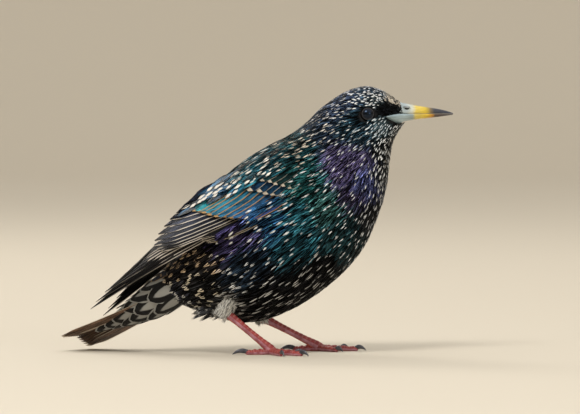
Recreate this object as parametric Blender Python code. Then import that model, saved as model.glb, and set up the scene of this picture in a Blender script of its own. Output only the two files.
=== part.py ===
"""A common starling in winter plumage, standing, life size: a still model in named solids.

The bird faces +X and stands on the plane z = 0, with its right side towards -Y.
Outline points are (x, z) pairs in millimetres in the bird's mid-plane, x forwards and z up.
"""
import math
import random
from typing import NamedTuple

import bmesh
import bpy
import numpy as np
from mathutils import Matrix, Vector

MM = 0.001
# Clearance between solids that meet, so that none shares a face with its neighbour.
FACE_GAP = 0.3


class Station(NamedTuple):
    """One cross-section of the feathered body: its top and bottom (x, z) and its half width."""

    top: tuple
    bottom: tuple
    half_width: float


# The outline of head, neck and torso out to the feather tips, from the chin back to the rump.
BODY = [
    Station((70.0, 119.6), (76.0, 112.0), 2.0),
    Station((66.8, 121.6), (70.7, 110.4), 4.5),
    Station((62.5, 124.3), (67.6, 107.0), 6.3),
    Station((57.2, 127.0), (64.7, 101.8), 8.3),
    Station((51.0, 128.1), (63.2, 96.5), 9.9),
    Station((43.8, 126.4), (62.3, 89.8), 11.2),
    Station((36.6, 122.3), (61.6, 83.0), 13.0),
    Station((29.4, 116.9), (59.6, 73.9), 16.8),
    Station((22.7, 110.4), (56.3, 64.3), 21.0),
    Station((15.0, 104.7), (51.0, 52.3), 24.7),
    Station((5.4, 99.8), (43.3, 41.8), 27.2),
    Station((-5.2, 93.4), (34.7, 33.6), 28.3),
    Station((-15.4, 85.4), (24.6, 26.2), 28.0),
    Station((-23.3, 76.0), (14.0, 20.2), 26.4),
    Station((-30.0, 66.8), (2.5, 15.9), 23.6),
    Station((-35.5, 58.3), (-9.0, 14.9), 20.0),
    Station((-39.6, 51.0), (-20.0, 17.3), 16.0),
    Station((-42.8, 44.5), (-29.6, 20.6), 12.3),
    Station((-45.5, 39.5), (-35.0, 22.6), 9.5),
]
BODY_SIDES = 32
BODY_RINGS_PER_STATION = 2
# How square a section is, from 2 for an ellipse: at the bill and from the neck down.
HEAD_ROUNDNESS = 2.5
BODY_ROUNDNESS = 2.15
HEAD_NECK_CUT = 5.75
NECK_TORSO_CUT = 8.25

EYE_AT = (52.2, 115.0)
EYEBALL_RADIUS = 3.5
# How far the eyeball's centre and the lids' rim lie below the feathers' surface.
EYEBALL_SUNK = 2.4
LIDS_SUNK = 0.1
LID_RING_RADIUS = 3.3
LID_THICKNESS = 0.6
LID_SEGMENTS = 16
LID_SIDES = 6

# The bill from its base to its tip: x, top, meeting line of the mandibles, bottom, half width.
BILL = [
    (62.8, 119.6, 113.8, 110.0, 4.2),
    (66.8, 120.5, 114.9, 110.6, 4.3),
    (70.0, 119.9, 114.9, 111.2, 4.0),
    (73.5, 119.2, 114.8, 111.8, 3.5),
    (77.5, 118.5, 114.8, 112.4, 2.9),
    (84.2, 117.5, 114.8, 113.1, 2.1),
    (89.3, 116.5, 114.8, 113.8, 1.35),
    (93.2, 115.2, 114.75, 114.4, 0.4),
]
BILL_SIDES = 20
# How thin a mandible gets at its tip, and how full its section is, below 1 for fuller.
BILL_THINNEST = 0.25
BILL_FULLNESS = 0.9
MOUTH_LINE = 0.3
NOSTRIL_AT = (71.0, 117.7)
NOSTRIL_FROM_MIDDLE = 3.5
NOSTRIL_SIZE = (1.7, 1.2, 0.55)

# The folded wing lies along a line in the side view from the shoulder to its tip. Its outer
# surface, by the distance along that line: the offsets of its upper and lower edges across the
# line, and how far out from the mid-plane each edge lies.
WING_SHOULDER = (28.0, 90.0)
WING_TIP = (-82.0, 22.0)
WING_STATIONS = (-2.0, 12.0, 33.0, 56.0, 77.0, 98.0, 116.0, 131.0)
WING_ROWS = (
    (-5.5, 4.2, 15.5, 20.0),
    (-15.5, 4.0, 14.0, 26.0),
    (-19.8, 4.5, 9.5, 30.2),
    (-17.0, 4.3, 4.5, 29.4),
    (-13.4, 2.8, 2.8, 23.5),
    (-6.4, 1.6, 2.8, 15.0),
    (-3.6, 0.6, 3.4, 9.4),
    (-3.0, 1.0, 4.0, 7.0),
)
WING_CURL = 0.72

# The wing's core, which all its feathers grow from: from the shoulder to this place along it.
WING_CORE_END = 56.0
WING_CORE_TOP = -1.5
WING_CORE_TAPER = 2.0
WING_CORE_DEPTH = 7.0
WING_CORE_MARGIN = 0.8

VANE_THICKNESS = 0.55
SHAFT_RISE = 0.18
# How much longer or shorter than its row a wing feather may be.
LENGTH_VARIATION = 0.6
FEATHER_SEED = 5
# How far a wing feather's root lies below its tip, which sinks it in the core.
ROOT_DEPTH = 3.0
# Outlines of vanes: pairs of the share along the feather and its share of the full width there.
ROUND_VANE = ((0.0, 0.6), (0.45, 1.0), (0.85, 0.88), (1.0, 0.34))
LONG_VANE = ((0.0, 0.6), (0.3, 0.9), (0.6, 1.0), (0.9, 0.8), (1.0, 0.3))
POINTED_VANE = ((0.0, 0.7), (0.3, 1.0), (0.6, 0.95), (0.87, 0.6), (1.0, 0.16))


class Tier(NamedTuple):
    """A row of feathers on the wing, from the one nearest the back to the one nearest the belly.

    Roots and tips are (x, z) places; each list is a curve that the feathers are spread along.
    lift is how far the tips lie out from the wing's surface, and tilt how much further out the
    lower edge of each feather lies than its middle, so that it covers the next one down.
    """

    count: int
    roots: tuple
    tips: tuple
    half_widths: tuple
    outline: tuple
    lift: float
    tilt: float


PRIMARIES = Tier(
    count=7,
    roots=((-13.0, 73.5), (-8.0, 68.0)),
    tips=((-57.0, 47.0), (-66.5, 38.6), (-75.0, 31.5), (-81.8, 22.8)),
    half_widths=(3.0, 2.6),
    outline=POINTED_VANE,
    lift=-3.6,
    tilt=0.2,
)
SECONDARIES = Tier(
    count=8,
    roots=((-14.0, 82.0), (-8.0, 74.0), (-5.0, 67.5)),
    tips=((-41.6, 64.3), (-49.5, 55.0), (-49.5, 50.6), (-39.7, 47.5)),
    half_widths=(3.2, 2.4),
    outline=LONG_VANE,
    lift=-1.5,
    tilt=0.22,
)
GREATER_COVERTS = Tier(
    count=7,
    roots=((-5.0, 86.5), (16.0, 77.0)),
    tips=((-31.5, 68.3), (-5.5, 66.0)),
    half_widths=(2.9, 2.6),
    outline=ROUND_VANE,
    lift=0.2,
    tilt=0.22,
)
PRIMARY_COVERTS = Tier(
    count=3,
    roots=((0.0, 68.0), (3.0, 65.0)),
    tips=((-26.8, 55.6), (-25.0, 52.6)),
    half_widths=(1.7, 1.7),
    outline=POINTED_VANE,
    lift=-1.7,
    tilt=0.2,
)
MEDIAN_COVERTS = Tier(
    count=5,
    roots=((2.0, 91.0), (13.0, 87.5), (22.0, 84.5)),
    tips=((-12.0, 79.5), (1.0, 77.5), (10.0, 75.6)),
    half_widths=(2.8, 2.3),
    outline=ROUND_VANE,
    lift=0.6,
    tilt=0.2,
)
WING_TIERS = (PRIMARIES, SECONDARIES, GREATER_COVERTS, PRIMARY_COVERTS, MEDIAN_COVERTS)

# The tail's plane: where it leaves the rump, and how it dips, turns left and rolls.
TAIL_ROOT = (-37.0, 34.0)
TAIL_LENGTH = 64.5
TAIL_DIP = math.radians(30.0)
TAIL_TURN = math.radians(23.0)
TAIL_ROLL = math.radians(11.0)
# How far the tail feathers' ends bend up, so that they stay just off the floor.
TAIL_SWEEP = 5.5
TAIL_PAIRS = 6
TAIL_HALF_WIDTH = 4.2
TAIL_ROOT_SPACING = 0.9
TAIL_TIP_SPACING = 1.9
# Each pair of tail feathers from the middle outwards lies this much lower, and is this much longer.
TAIL_STEP_DOWN = 0.86
TAIL_STEP_LONGER = 0.7
# The tail's core: distance from the root, half width, height above and depth below its plane.
TAIL_CORE = (
    (-4.0, 7.0, 6.0, 7.5),
    (6.0, 8.0, 4.6, 7.8),
    (16.0, 7.6, 2.6, 7.0),
    (25.0, 6.4, 1.4, 5.4),
    (33.0, 4.2, 0.5, 3.9),
)
TAIL_CORE_SIDES = 16
TAIL_FEATHER_START = 8.0
TAIL_COVERT_SINK = 3.2
TAIL_COVERT_SPREAD = 12.0
# How far coverts would lie from the tail's plane at its tip, over it (1) and under it (-1).
TAIL_TIP_THICKNESS = {1: 1.2, -1: 3.0}
MIDLINE_CLEARANCE = 0.2


class TailCovert(NamedTuple):
    """Coverts over or under the tail's root: places are (distance from the root, to the left)."""

    root: tuple
    tip: tuple
    half_width: float
    lift: float


UNDERTAIL_COVERTS = (
    TailCovert((3.0, 3.6), (25.0, 5.4), 3.3, 0.2),
    TailCovert((3.0, -3.6), (25.0, -5.4), 3.3, 0.2),
    TailCovert((2.0, 0.0), (28.0, 0.0), 3.8, 1.3),
    TailCovert((14.0, 2.2), (36.0, 3.4), 2.9, 0.3),
    TailCovert((14.0, -2.2), (36.0, -3.4), 2.9, 0.3),
    TailCovert((20.0, 0.0), (44.0, 0.0), 3.4, 0.0),
)
UPPERTAIL_COVERTS = (
    TailCovert((2.0, 3.4), (20.0, 4.6), 3.0, 0.3),
    TailCovert((2.0, -3.4), (20.0, -4.6), 3.0, 0.3),
    TailCovert((1.0, 0.0), (22.0, 0.0), 3.2, 1.3),
    TailCovert((10.0, 1.6), (30.0, 2.6), 2.4, 0.6),
    TailCovert((10.0, -1.6), (30.0, -2.6), 2.4, 0.6),
)

FLOOR = 0.0
# The pad that each foot's toes grow from: its height, and how far their roots are from its middle.
PAD_HEIGHT = 2.5
PAD_REACH = 2.8


class Leg(NamedTuple):
    """One leg: its places, as x, how far out from the mid-plane, and z.

    toes gives the compass of each toe from straight ahead, positive towards the outer side.
    """

    side: int
    knee: tuple
    sock_end: tuple
    ankle: tuple
    hub: tuple
    toes: dict


LEGS = {
    "right": Leg(
        side=-1,
        knee=(-6.0, 13.0, 37.0),
        sock_end=(-14.6, 13.5, 19.2),
        ankle=(-16.7, 13.5, 21.1),
        hub=(5.9, 15.0),
        toes={"hind": 174.0, "inner": 12.0, "middle": 40.0, "outer": 70.0},
    ),
    "left": Leg(
        side=1,
        knee=(-3.0, 12.0, 34.0),
        sock_end=(1.0, 13.0, 17.5),
        ankle=(2.0, 13.0, 16.2),
        hub=(28.4, 15.0),
        toes={"hind": 176.0, "inner": -44.0, "middle": 1.0, "outer": 33.0},
    ),
}
# Sections down the thigh and down the shank: share of the length, half width and half depth.
THIGH_SECTIONS = ((0.0, 7.0, 8.0), (0.3, 6.6, 7.4), (0.6, 5.2, 5.8), (0.85, 3.9, 4.2), (1.0, 2.9, 3.1))
THIGH_SIDES = 16
SHANK_SECTIONS = (
    (-0.04, 1.9, 2.3),
    (0.0, 2.2, 2.7),
    (0.12, 1.6, 2.1),
    (0.3, 1.35, 1.75),
    (0.55, 1.3, 1.65),
    (0.78, 1.5, 1.9),
    (0.9, 2.0, 2.3),
    (1.0, 2.4, 2.5),
    (1.07, 2.1, 2.0),
    (1.1, 1.2, 1.1),
)
SHANK_SIDES = 14
TOE_LENGTHS = {"hind": 11.5, "inner": 12.5, "middle": 18.5, "outer": 14.0}
CLAW_LENGTHS = {"hind": 7.0, "inner": 4.2, "middle": 4.8, "outer": 4.2}
# Along a toe, which is thicker at its pads: share of its length and half width.
TOE_SECTIONS = (
    (0.04, 1.7),
    (0.2, 1.65),
    (0.34, 1.35),
    (0.44, 1.55),
    (0.56, 1.25),
    (0.68, 1.45),
    (0.8, 1.15),
    (0.92, 1.3),
    (1.0, 0.95),
)
TOE_SIDES = 8
# A toe's half depth, and how high its middle lies, as shares of its half width. The middle is
# lower than the depth, so that the toe stands on small flats.
TOE_DEPTH = 1.02
TOE_LEVEL = 0.86
# Along a claw: share of its length, rise over its base, half width and half depth.
CLAW_SECTIONS = (
    (0.0, 0.0, 0.75, 0.85),
    (0.3, 0.55, 0.6, 0.75),
    (0.6, 0.5, 0.45, 0.55),
    (0.85, -0.05, 0.28, 0.35),
    (1.0, -0.6, 0.12, 0.14),
)
CLAW_SIDES = 6
CLAW_BASE_HEIGHT = 0.95
SHARP_EDGE = math.radians(35.0)


def spline(rows, s):
    """Values at place s along the rows, on a Catmull-Rom curve that passes through each row."""
    last = len(rows) - 1
    i = min(max(int(s), 0), last - 1)
    f = s - i
    a, b, c, d = (np.asarray(rows[min(max(i + k, 0), last)], float) for k in (-1, 0, 1, 2))
    return 0.5 * (
        2 * b + (c - a) * f + (2 * a - 5 * b + 4 * c - d) * f**2 + (3 * b - a - 3 * c + d) * f**3
    )


def signed_power(value, power):
    """value's size raised to a power, with its sign kept."""
    return math.copysign(abs(value) ** power, value)


BODY_ROWS = [(*st.top, *st.bottom, st.half_width) for st in BODY]


def roundness(s):
    """How square the body's section is at station place s."""
    return float(np.interp(s, (4.0, 8.0), (HEAD_ROUNDNESS, BODY_ROUNDNESS)))


def body_point(s, angle):
    """A point of the feathered body: station place s, and the angle round it from the back."""
    top_x, top_z, low_x, low_z, half = spline(BODY_ROWS, s)
    power = 2 / roundness(s)
    rise = signed_power(math.cos(angle), power)
    side = signed_power(math.sin(angle), power)
    return Vector(
        (
            (top_x + low_x) / 2 + (top_x - low_x) / 2 * rise,
            half * side,
            (top_z + low_z) / 2 + (top_z - low_z) / 2 * rise,
        )
    )


def beside_line(p, up, low):
    """How far p lies to one side of the line from up to low, and its share of the way down."""
    line = (low[0] - up[0], low[1] - up[1])
    to_p = (p[0] - up[0], p[1] - up[1])
    length = line[0] ** 2 + line[1] ** 2
    return (
        line[0] * to_p[1] - line[1] * to_p[0],
        (line[0] * to_p[0] + line[1] * to_p[1]) / length,
    )


def place_on(rows, p, steps_per_row=8):
    """The row place whose top-to-bottom line passes through p, and p's share of the way down it."""
    last = len(rows) - 1
    before = None
    for i in range(last * steps_per_row + 1):
        s = i / steps_per_row
        row = spline(rows, s)
        side, share = beside_line(p, row[:2], row[2:4])
        if before is not None and (side >= 0) != (before[1] >= 0):
            f = before[1] / (before[1] - side)
            return before[0] + f * (s - before[0]), before[2] + f * (share - before[2])
        before = (s, side, share)
    at_first = beside_line(p, rows[0][:2], rows[0][2:4])[0]
    return (0.0, share) if abs(side) > abs(at_first) else (last, share)


def body_side(p):
    """The point of the body's left side at the side-view place p, and the way it faces there."""
    s, share = place_on(BODY_ROWS, p)
    rise = 1 - 2 * min(max(share, 0.0), 1.0)
    angle = math.acos(signed_power(rise, roundness(s) / 2))
    step = 0.05
    along = body_point(s + step, angle) - body_point(s - step, angle)
    down = body_point(s, angle + step) - body_point(s, angle - step)
    return body_point(s, angle), down.cross(along).normalized()


def wing_axes():
    """The side-view direction along the folded wing, and the one across it, downwards."""
    run = np.subtract(WING_TIP, WING_SHOULDER)
    along = run / np.hypot(*run)
    return along, np.array((-along[1], along[0]))


def wing_row(distance):
    """Edges of the wing's surface at a distance from the shoulder along the wing's line."""
    return spline(WING_ROWS, float(np.interp(distance, WING_STATIONS, range(len(WING_STATIONS)))))


def wing_point(distance, offset):
    """The point of the wing's outer surface at a distance along its line and an offset across it."""
    upper, lower, y_upper, y_lower = wing_row(distance)
    share = min(max((offset - upper) / (lower - upper), 0.0), 1.0)
    out = math.sin(math.pi / 2 * share**WING_CURL)
    along, across = wing_axes()
    x, z = np.array(WING_SHOULDER) + along * distance + across * offset
    return Vector((x, y_upper + (y_lower - y_upper) * out, z))


def wing_normal(distance, offset):
    """The outward direction of the wing's surface, taken just inside its edges."""
    step = 0.4
    upper, lower = wing_row(distance)[:2]
    offset = min(max(offset, upper + 2 * step), lower - 2 * step)
    distance = max(distance, WING_STATIONS[0] + step)
    along = wing_point(distance + step, offset) - wing_point(distance - step, offset)
    across = wing_point(distance, offset + step) - wing_point(distance, offset - step)
    return across.cross(along).normalized()


def mesh_object(name, bm):
    """A mesh object from bm, whose vertices are in millimetres, added to the bird's collection."""
    bmesh.ops.recalc_face_normals(bm, faces=bm.faces)
    bmesh.ops.scale(bm, vec=(MM, MM, MM), verts=bm.verts)
    mesh = bpy.data.meshes.new(name)
    bm.to_mesh(mesh)
    bm.free()
    obj = bpy.data.objects.new(name, mesh)
    bird.objects.link(obj)
    return obj


def loft(name, rings):
    """A closed solid through rings of points, each with the same count, with a flat cap at each end."""
    bm = bmesh.new()
    rows = [[bm.verts.new(p) for p in ring] for ring in rings]
    count = len(rows[0])
    for low, high in zip(rows, rows[1:]):
        for i in range(count):
            j = (i + 1) % count
            bm.faces.new((low[i], low[j], high[j], high[i]))
    bm.faces.new(rows[0][::-1])
    bm.faces.new(rows[-1])
    return mesh_object(name, bm)


def grid_slab(name, top, bottom):
    """A closed slab between two grids of points, split into triangles alike on both faces."""
    bm = bmesh.new()
    sheets = [[[bm.verts.new(p) for p in row] for row in grid] for grid in (top, bottom)]
    rows, columns = len(top), len(top[0])
    for sheet in sheets:
        for i in range(rows - 1):
            for j in range(columns - 1):
                a, b = sheet[i][j], sheet[i + 1][j]
                c, d = sheet[i + 1][j + 1], sheet[i][j + 1]
                bm.faces.new((a, b, c))
                bm.faces.new((a, c, d))
    rim = [(i, 0) for i in range(rows)] + [(rows - 1, j) for j in range(1, columns)]
    rim += [(i, columns - 1) for i in range(rows - 2, -1, -1)]
    rim += [(0, j) for j in range(columns - 2, 0, -1)]
    for (i, j), (k, m) in zip(rim, rim[1:] + rim[:1]):
        bm.faces.new((sheets[0][i][j], sheets[1][i][j], sheets[1][k][m], sheets[0][k][m]))
    return mesh_object(name, bm)


def tube(name, points, radii, sides=10, end_directions=(None, None), lowest=None):
    """A closed tube through points, with (sideways, upright) radii at each."""
    rings = []
    for i, (p, (side_radius, up_radius)) in enumerate(zip(points, radii)):
        ahead, behind = points[min(i + 1, len(points) - 1)], points[max(i - 1, 0)]
        direction = (ahead - behind).normalized()
        if i == 0 and end_directions[0]:
            direction = end_directions[0]
        if i == len(points) - 1 and end_directions[1]:
            direction = end_directions[1]
        side = direction.cross(Vector((0, 0, 1))).normalized()
        up = side.cross(direction)
        ring = []
        for k in range(sides):
            a = 2 * math.pi * (k + 0.5) / sides
            v = p + side * (side_radius * math.cos(a)) + up * (up_radius * math.sin(a))
            if lowest is not None:
                v.z = max(v.z, lowest)
            ring.append(v)
        rings.append(ring)
    return loft(name, rings)


def swollen(obj, distance):
    """A copy of obj grown by distance along its vertex normals, to cut clearance with."""
    mesh = obj.data.copy()
    bm = bmesh.new()
    bm.from_mesh(mesh)
    bm.normal_update()
    moves = [v.normal * v.calc_shell_factor() * distance * MM for v in bm.verts]
    for v, move in zip(bm.verts, moves):
        v.co += move
    bm.to_mesh(mesh)
    bm.free()
    grown = bpy.data.objects.new(obj.name + "_clearance", mesh)
    grown.hide_render = True
    grown.display_type = "WIRE"
    cutters.objects.link(grown)
    return grown


def keep_largest(obj):
    """Keeps only the largest closed surface of obj."""
    bm = bmesh.new()
    bm.from_mesh(obj.data)
    bm.verts.index_update()
    left, groups = set(bm.verts), []
    while left:
        start = left.pop()
        group, front = {start}, [start]
        while front:
            for edge in front.pop().link_edges:
                for v in edge.verts:
                    if v in left:
                        left.discard(v)
                        group.add(v)
                        front.append(v)
        groups.append(group)

    def spread(group):
        corners = np.array([v.co for v in group])
        return float(np.prod(corners.max(0) - corners.min(0)))

    largest = max(groups, key=spread)
    scraps = [v for group in groups if group is not largest for v in group]
    bmesh.ops.delete(bm, geom=scraps, context="VERTS")
    bm.to_mesh(obj.data)
    bm.free()
    return obj


def combine(obj, others, operation, solver="EXACT"):
    """Joins others to obj, or cuts them from it, in one Boolean, then removes them."""
    group = bpy.data.collections.new(obj.name + "_pieces")
    bpy.context.scene.collection.children.link(group)
    for other in others:
        group.objects.link(other)
    modifier = obj.modifiers.new("pieces", "BOOLEAN")
    modifier.operation = operation
    modifier.operand_type = "COLLECTION"
    modifier.collection = group
    modifier.solver = solver
    evaluated = obj.evaluated_get(bpy.context.evaluated_depsgraph_get())
    mesh = bpy.data.meshes.new_from_object(evaluated)
    obj.modifiers.clear()
    obj.data = mesh
    for other in others:
        bpy.data.objects.remove(other)
    bpy.data.collections.remove(group)
    return keep_largest(obj)


def clear_of(obj, neighbours, solver="EXACT"):
    """Cuts obj back so that it meets each neighbour face to face, with the clearance between."""
    return combine(obj, [swollen(n, FACE_GAP) for n in neighbours], "DIFFERENCE", solver)


def bisected(obj, point, normal):
    """Removes what lies on the normal's side of a plane, and closes the cut with a flat face."""
    bm = bmesh.new()
    bm.from_mesh(obj.data)
    bmesh.ops.bisect_plane(
        bm,
        geom=bm.verts[:] + bm.edges[:] + bm.faces[:],
        plane_co=Vector(point) * MM,
        plane_no=normal,
        clear_outer=True,
    )
    bmesh.ops.holes_fill(bm, edges=[e for e in bm.edges if e.is_boundary])
    bmesh.ops.recalc_face_normals(bm, faces=bm.faces)
    bm.to_mesh(obj.data)
    bm.free()
    return obj


def station_plane(s):
    """A point on the section at s, and the direction across it towards the tail."""
    row = spline(BODY_ROWS, s)
    line = Vector((row[2] - row[0], 0, row[3] - row[1])).normalized()
    normal = Vector((line.z, 0, -line.x))
    return Vector((row[0], 0, row[1])), -normal if normal.x > 0 else normal


def body_stretch(name, start, end):
    """The length of the feathered body from station place start to end; None means its own end."""
    last = len(BODY_ROWS) - 1
    count = last * BODY_RINGS_PER_STATION
    angles = [2 * math.pi * i / BODY_SIDES for i in range(BODY_SIDES)]
    rings = [[body_point(last * i / count, a) for a in angles] for i in range(count + 1)]
    obj = loft(name, rings)
    half_gap = FACE_GAP / 2
    if start is not None:
        point, towards_tail = station_plane(start)
        bisected(obj, point + towards_tail * half_gap, -towards_tail)
    if end is not None:
        point, towards_tail = station_plane(end)
        bisected(obj, point - towards_tail * half_gap, towards_tail)
    return obj


def ball(name, centre, radii, segments, rings, pole=Vector((0, 0, 1))):
    """A sphere or ellipsoid with its centre, its three radii, and where its pole points."""
    bm = bmesh.new()
    bmesh.ops.create_uvsphere(bm, u_segments=segments, v_segments=rings, radius=1.0)
    bmesh.ops.scale(bm, vec=radii, verts=bm.verts)
    turn = pole.to_track_quat("Z", "Y").to_matrix()
    bmesh.ops.rotate(bm, matrix=turn, verts=bm.verts)
    bmesh.ops.translate(bm, vec=centre, verts=bm.verts)
    return mesh_object(name, bm)


def lid_ring(centre, outward):
    """The rim of the eyelids, a ring that faces outward."""
    turn = outward.to_track_quat("Z", "Y")
    rows = []
    bm = bmesh.new()
    for i in range(LID_SEGMENTS):
        a = 2 * math.pi * i / LID_SEGMENTS
        row = []
        for k in range(LID_SIDES):
            b = 2 * math.pi * k / LID_SIDES
            reach = LID_RING_RADIUS + LID_THICKNESS * math.cos(b)
            p = Vector((reach * math.cos(a), reach * math.sin(a), LID_THICKNESS * math.sin(b)))
            row.append(bm.verts.new(centre + turn @ p))
        rows.append(row)
    for low, high in zip(rows, rows[1:] + rows[:1]):
        for i in range(LID_SIDES):
            j = (i + 1) % LID_SIDES
            bm.faces.new((low[i], low[j], high[j], high[i]))
    return mesh_object("lid", bm)


def mandible(name, is_upper):
    """The upper or lower half of the bill, lofted from its base to its tip."""
    rings = []
    steps = 2 * (len(BILL) - 1)
    for i in range(steps + 1):
        x, top, line, bottom, half = spline(BILL, i / 2)
        edge = line + MOUTH_LINE / 2 if is_upper else line - MOUTH_LINE / 2
        depth = (top - edge) if is_upper else (bottom - edge)
        depth = math.copysign(max(abs(depth), BILL_THINNEST), 1 if is_upper else -1)
        ring = []
        for k in range(BILL_SIDES // 2 + 1):
            a = math.pi * k / (BILL_SIDES // 2)
            rise = math.sin(a) ** BILL_FULLNESS
            ring.append(Vector((x, half * math.cos(a), edge + depth * rise)))
        rings.append(ring)
    return loft(name, rings)


def make_bill():
    """The two mandibles, with the nostrils sunk in the upper one."""
    upper = mandible("bill_upper", True)
    lower = mandible("bill_lower", False)
    pits = []
    x, z = NOSTRIL_AT
    for side in (-1, 1):
        pits.append(ball("nostril", (x, side * NOSTRIL_FROM_MIDDLE, z), NOSTRIL_SIZE, 12, 8))
    combine(upper, pits, "DIFFERENCE")
    return upper, lower


def make_head(bill):
    """The head with its lids and eye sockets, cut to take the bill, and the two eyes."""
    head = body_stretch("head", None, HEAD_NECK_CUT)
    lids, sockets = [], []
    for side, label in ((-1, "right"), (1, "left")):
        surface, outward = body_side(EYE_AT)
        for vector in (surface, outward):
            vector.y *= side
        centre = surface - outward * EYEBALL_SUNK
        lids.append(lid_ring(surface - outward * LIDS_SUNK, outward))
        sockets.append(ball("socket", centre, (EYEBALL_RADIUS + FACE_GAP,) * 3, 16, 10, outward))
        ball(f"eye_{label}", centre, (EYEBALL_RADIUS,) * 3, 16, 10, outward)
    combine(head, lids, "UNION", "MANIFOLD")
    combine(head, sockets, "DIFFERENCE", "MANIFOLD")
    return clear_of(head, bill, "MANIFOLD")


def mirrored(obj, name):
    """A copy of obj on the other side of the bird's mid-plane."""
    mesh = obj.data.copy()
    mesh.transform(Matrix.Scale(-1, 4, (0, 1, 0)))
    mesh.flip_normals()
    twin = bpy.data.objects.new(name, mesh)
    bird.objects.link(twin)
    return twin


def vane(name, outline, half_width, place):
    """One feather vane as a closed sheet.

    place(along, offset) gives a point of the sheet's middle and the outward direction there, for
    along from 0 at the root to 1 at the tip, and an offset in millimetres from the shaft.
    """
    top, bottom = [], []
    for along, wide in outline:
        top_row, bottom_row = [], []
        for across_share in (-1, 0, 1):
            middle, outward = place(along, across_share * half_width * wide)
            raised = VANE_THICKNESS / 2 + (SHAFT_RISE if across_share == 0 else 0.0)
            top_row.append(middle + outward * raised)
            bottom_row.append(middle - outward * (VANE_THICKNESS / 2))
        top.append(top_row)
        bottom.append(bottom_row)
    return grid_slab(name, top, bottom)


def along_curve(points, f):
    """The place at share f along a curve through points."""
    return spline(points, f * (len(points) - 1))


def on_wing(p, lift):
    """The point at the side-view place p, lift out from the wing's surface, and outwards there."""
    along, across = wing_axes()
    from_shoulder = p - np.array(WING_SHOULDER)
    distance, offset = from_shoulder @ along, from_shoulder @ across
    outward = wing_normal(distance, offset)
    return wing_point(distance, offset) + outward * lift, outward


def wing_feather(tier, f, longer):
    """The feather at share f of a tier, longer than its row by so much, its root in the core."""
    root, tip = along_curve(tier.roots, f), along_curve(tier.tips, f)
    half_width = tier.half_widths[0] + (tier.half_widths[1] - tier.half_widths[0]) * f
    run = tip - root
    run *= 1 + longer / np.hypot(*run)
    downwards = np.array((-run[1], run[0])) / np.hypot(*run)
    if downwards[1] > 0:
        downwards = -downwards

    def place(along, offset):
        lift = tier.lift + tier.tilt * offset - ROOT_DEPTH * (1 - along) ** 2
        return on_wing(root + run * along + downwards * offset, lift)

    return vane("feather", tier.outline, half_width, place)


def on_core(distance, offset, lift):
    """The point at a distance along the wing and an offset across it, lift out from its surface."""
    return wing_point(distance, offset) + wing_normal(distance, offset) * lift


def make_wing(body_parts):
    """The left wing: a core that lies on the flank, and tiers of overlapping feathers."""
    top, bottom = [], []
    for distance in np.linspace(0, WING_CORE_END, 10):
        upper, lower = wing_row(distance)[:2]
        offsets = np.linspace(upper + WING_CORE_MARGIN, lower - WING_CORE_MARGIN, 7)
        lift = WING_CORE_TOP - WING_CORE_TAPER * (distance / WING_CORE_END) ** 3
        top.append([on_core(distance, offset, lift) for offset in offsets])
        bottom.append([on_core(distance, offset, -WING_CORE_DEPTH) for offset in offsets])
    wing = grid_slab("wing_left", top, bottom)
    feathers = []
    draw = random.Random(FEATHER_SEED)
    for tier in WING_TIERS:
        for i in range(tier.count):
            longer = draw.uniform(-LENGTH_VARIATION, LENGTH_VARIATION)
            feathers.append(wing_feather(tier, i / (tier.count - 1), longer))
    combine(wing, feathers, "UNION", "MANIFOLD")
    return clear_of(wing, body_parts, "MANIFOLD")


def tail_frame():
    """The tail's directions: back along it, towards the bird's left, and up from its face."""
    dip, turn, roll = TAIL_DIP, TAIL_TURN, TAIL_ROLL
    along = Vector((-math.cos(dip) * math.cos(turn), math.cos(dip) * math.sin(turn), -math.sin(dip)))
    flat_left = Vector((math.sin(turn), math.cos(turn), 0))
    flat_up = flat_left.cross(along).normalized()
    if flat_up.z < 0:
        flat_up = -flat_up
    left = flat_left * math.cos(roll) - flat_up * math.sin(roll)
    up = flat_up * math.cos(roll) + flat_left * math.sin(roll)
    return along, left, up


def tail_point(distance, to_left, height):
    """A point of the tail: a distance along it, to its left, and up from its plane."""
    along, left, up = tail_frame()
    sweep = TAIL_SWEEP * (distance / TAIL_LENGTH) * abs(distance / TAIL_LENGTH)
    root = Vector((TAIL_ROOT[0], 0, TAIL_ROOT[1]))
    return root + along * distance + left * to_left + up * (height + sweep)


def tail_feather(pair, side):
    """One long tail feather; side is 1 on the left. The middle pair lie one over the other."""
    up = tail_frame()[2]
    level = -TAIL_STEP_DOWN * pair
    if pair == 0 and side > 0:
        level += TAIL_STEP_DOWN
    root = side * TAIL_ROOT_SPACING * (pair + 0.5)
    tip = side * TAIL_TIP_SPACING * (pair + 0.5)
    length = TAIL_LENGTH - TAIL_STEP_LONGER * (TAIL_PAIRS - 1 - pair)
    start = TAIL_FEATHER_START

    def place(along, offset):
        middle = root + (tip - root) * along
        to_left = middle + offset
        if pair > 0:
            to_left = side * max(side * to_left, MIDLINE_CLEARANCE)
        return tail_point(start + (length - start) * along, to_left, level), up

    return vane("feather", LONG_VANE, TAIL_HALF_WIDTH, place)


def tail_covert(covert, side):
    """One covert; side is 1 over the tail and -1 under it."""
    up = tail_frame()[2]
    root, tip = np.array(covert.root), np.array(covert.tip)
    run = tip - root
    across = np.array((-run[1], run[0])) / np.hypot(*run)
    column = 2 if side > 0 else 3
    distances = [row[0] for row in TAIL_CORE] + [TAIL_LENGTH]
    heights = [row[column] for row in TAIL_CORE] + [TAIL_TIP_THICKNESS[side]]

    def place(along, offset):
        distance, to_left = root + run * along + across * offset
        height = float(np.interp(distance, distances, heights))
        height *= math.sqrt(1 - min(abs(to_left) / TAIL_COVERT_SPREAD, 0.9) ** 2)
        height += covert.lift - TAIL_COVERT_SINK * (1 - along) ** 2
        return tail_point(distance, to_left, side * height), up * side

    return vane("feather", ROUND_VANE, covert.half_width, place)


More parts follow.
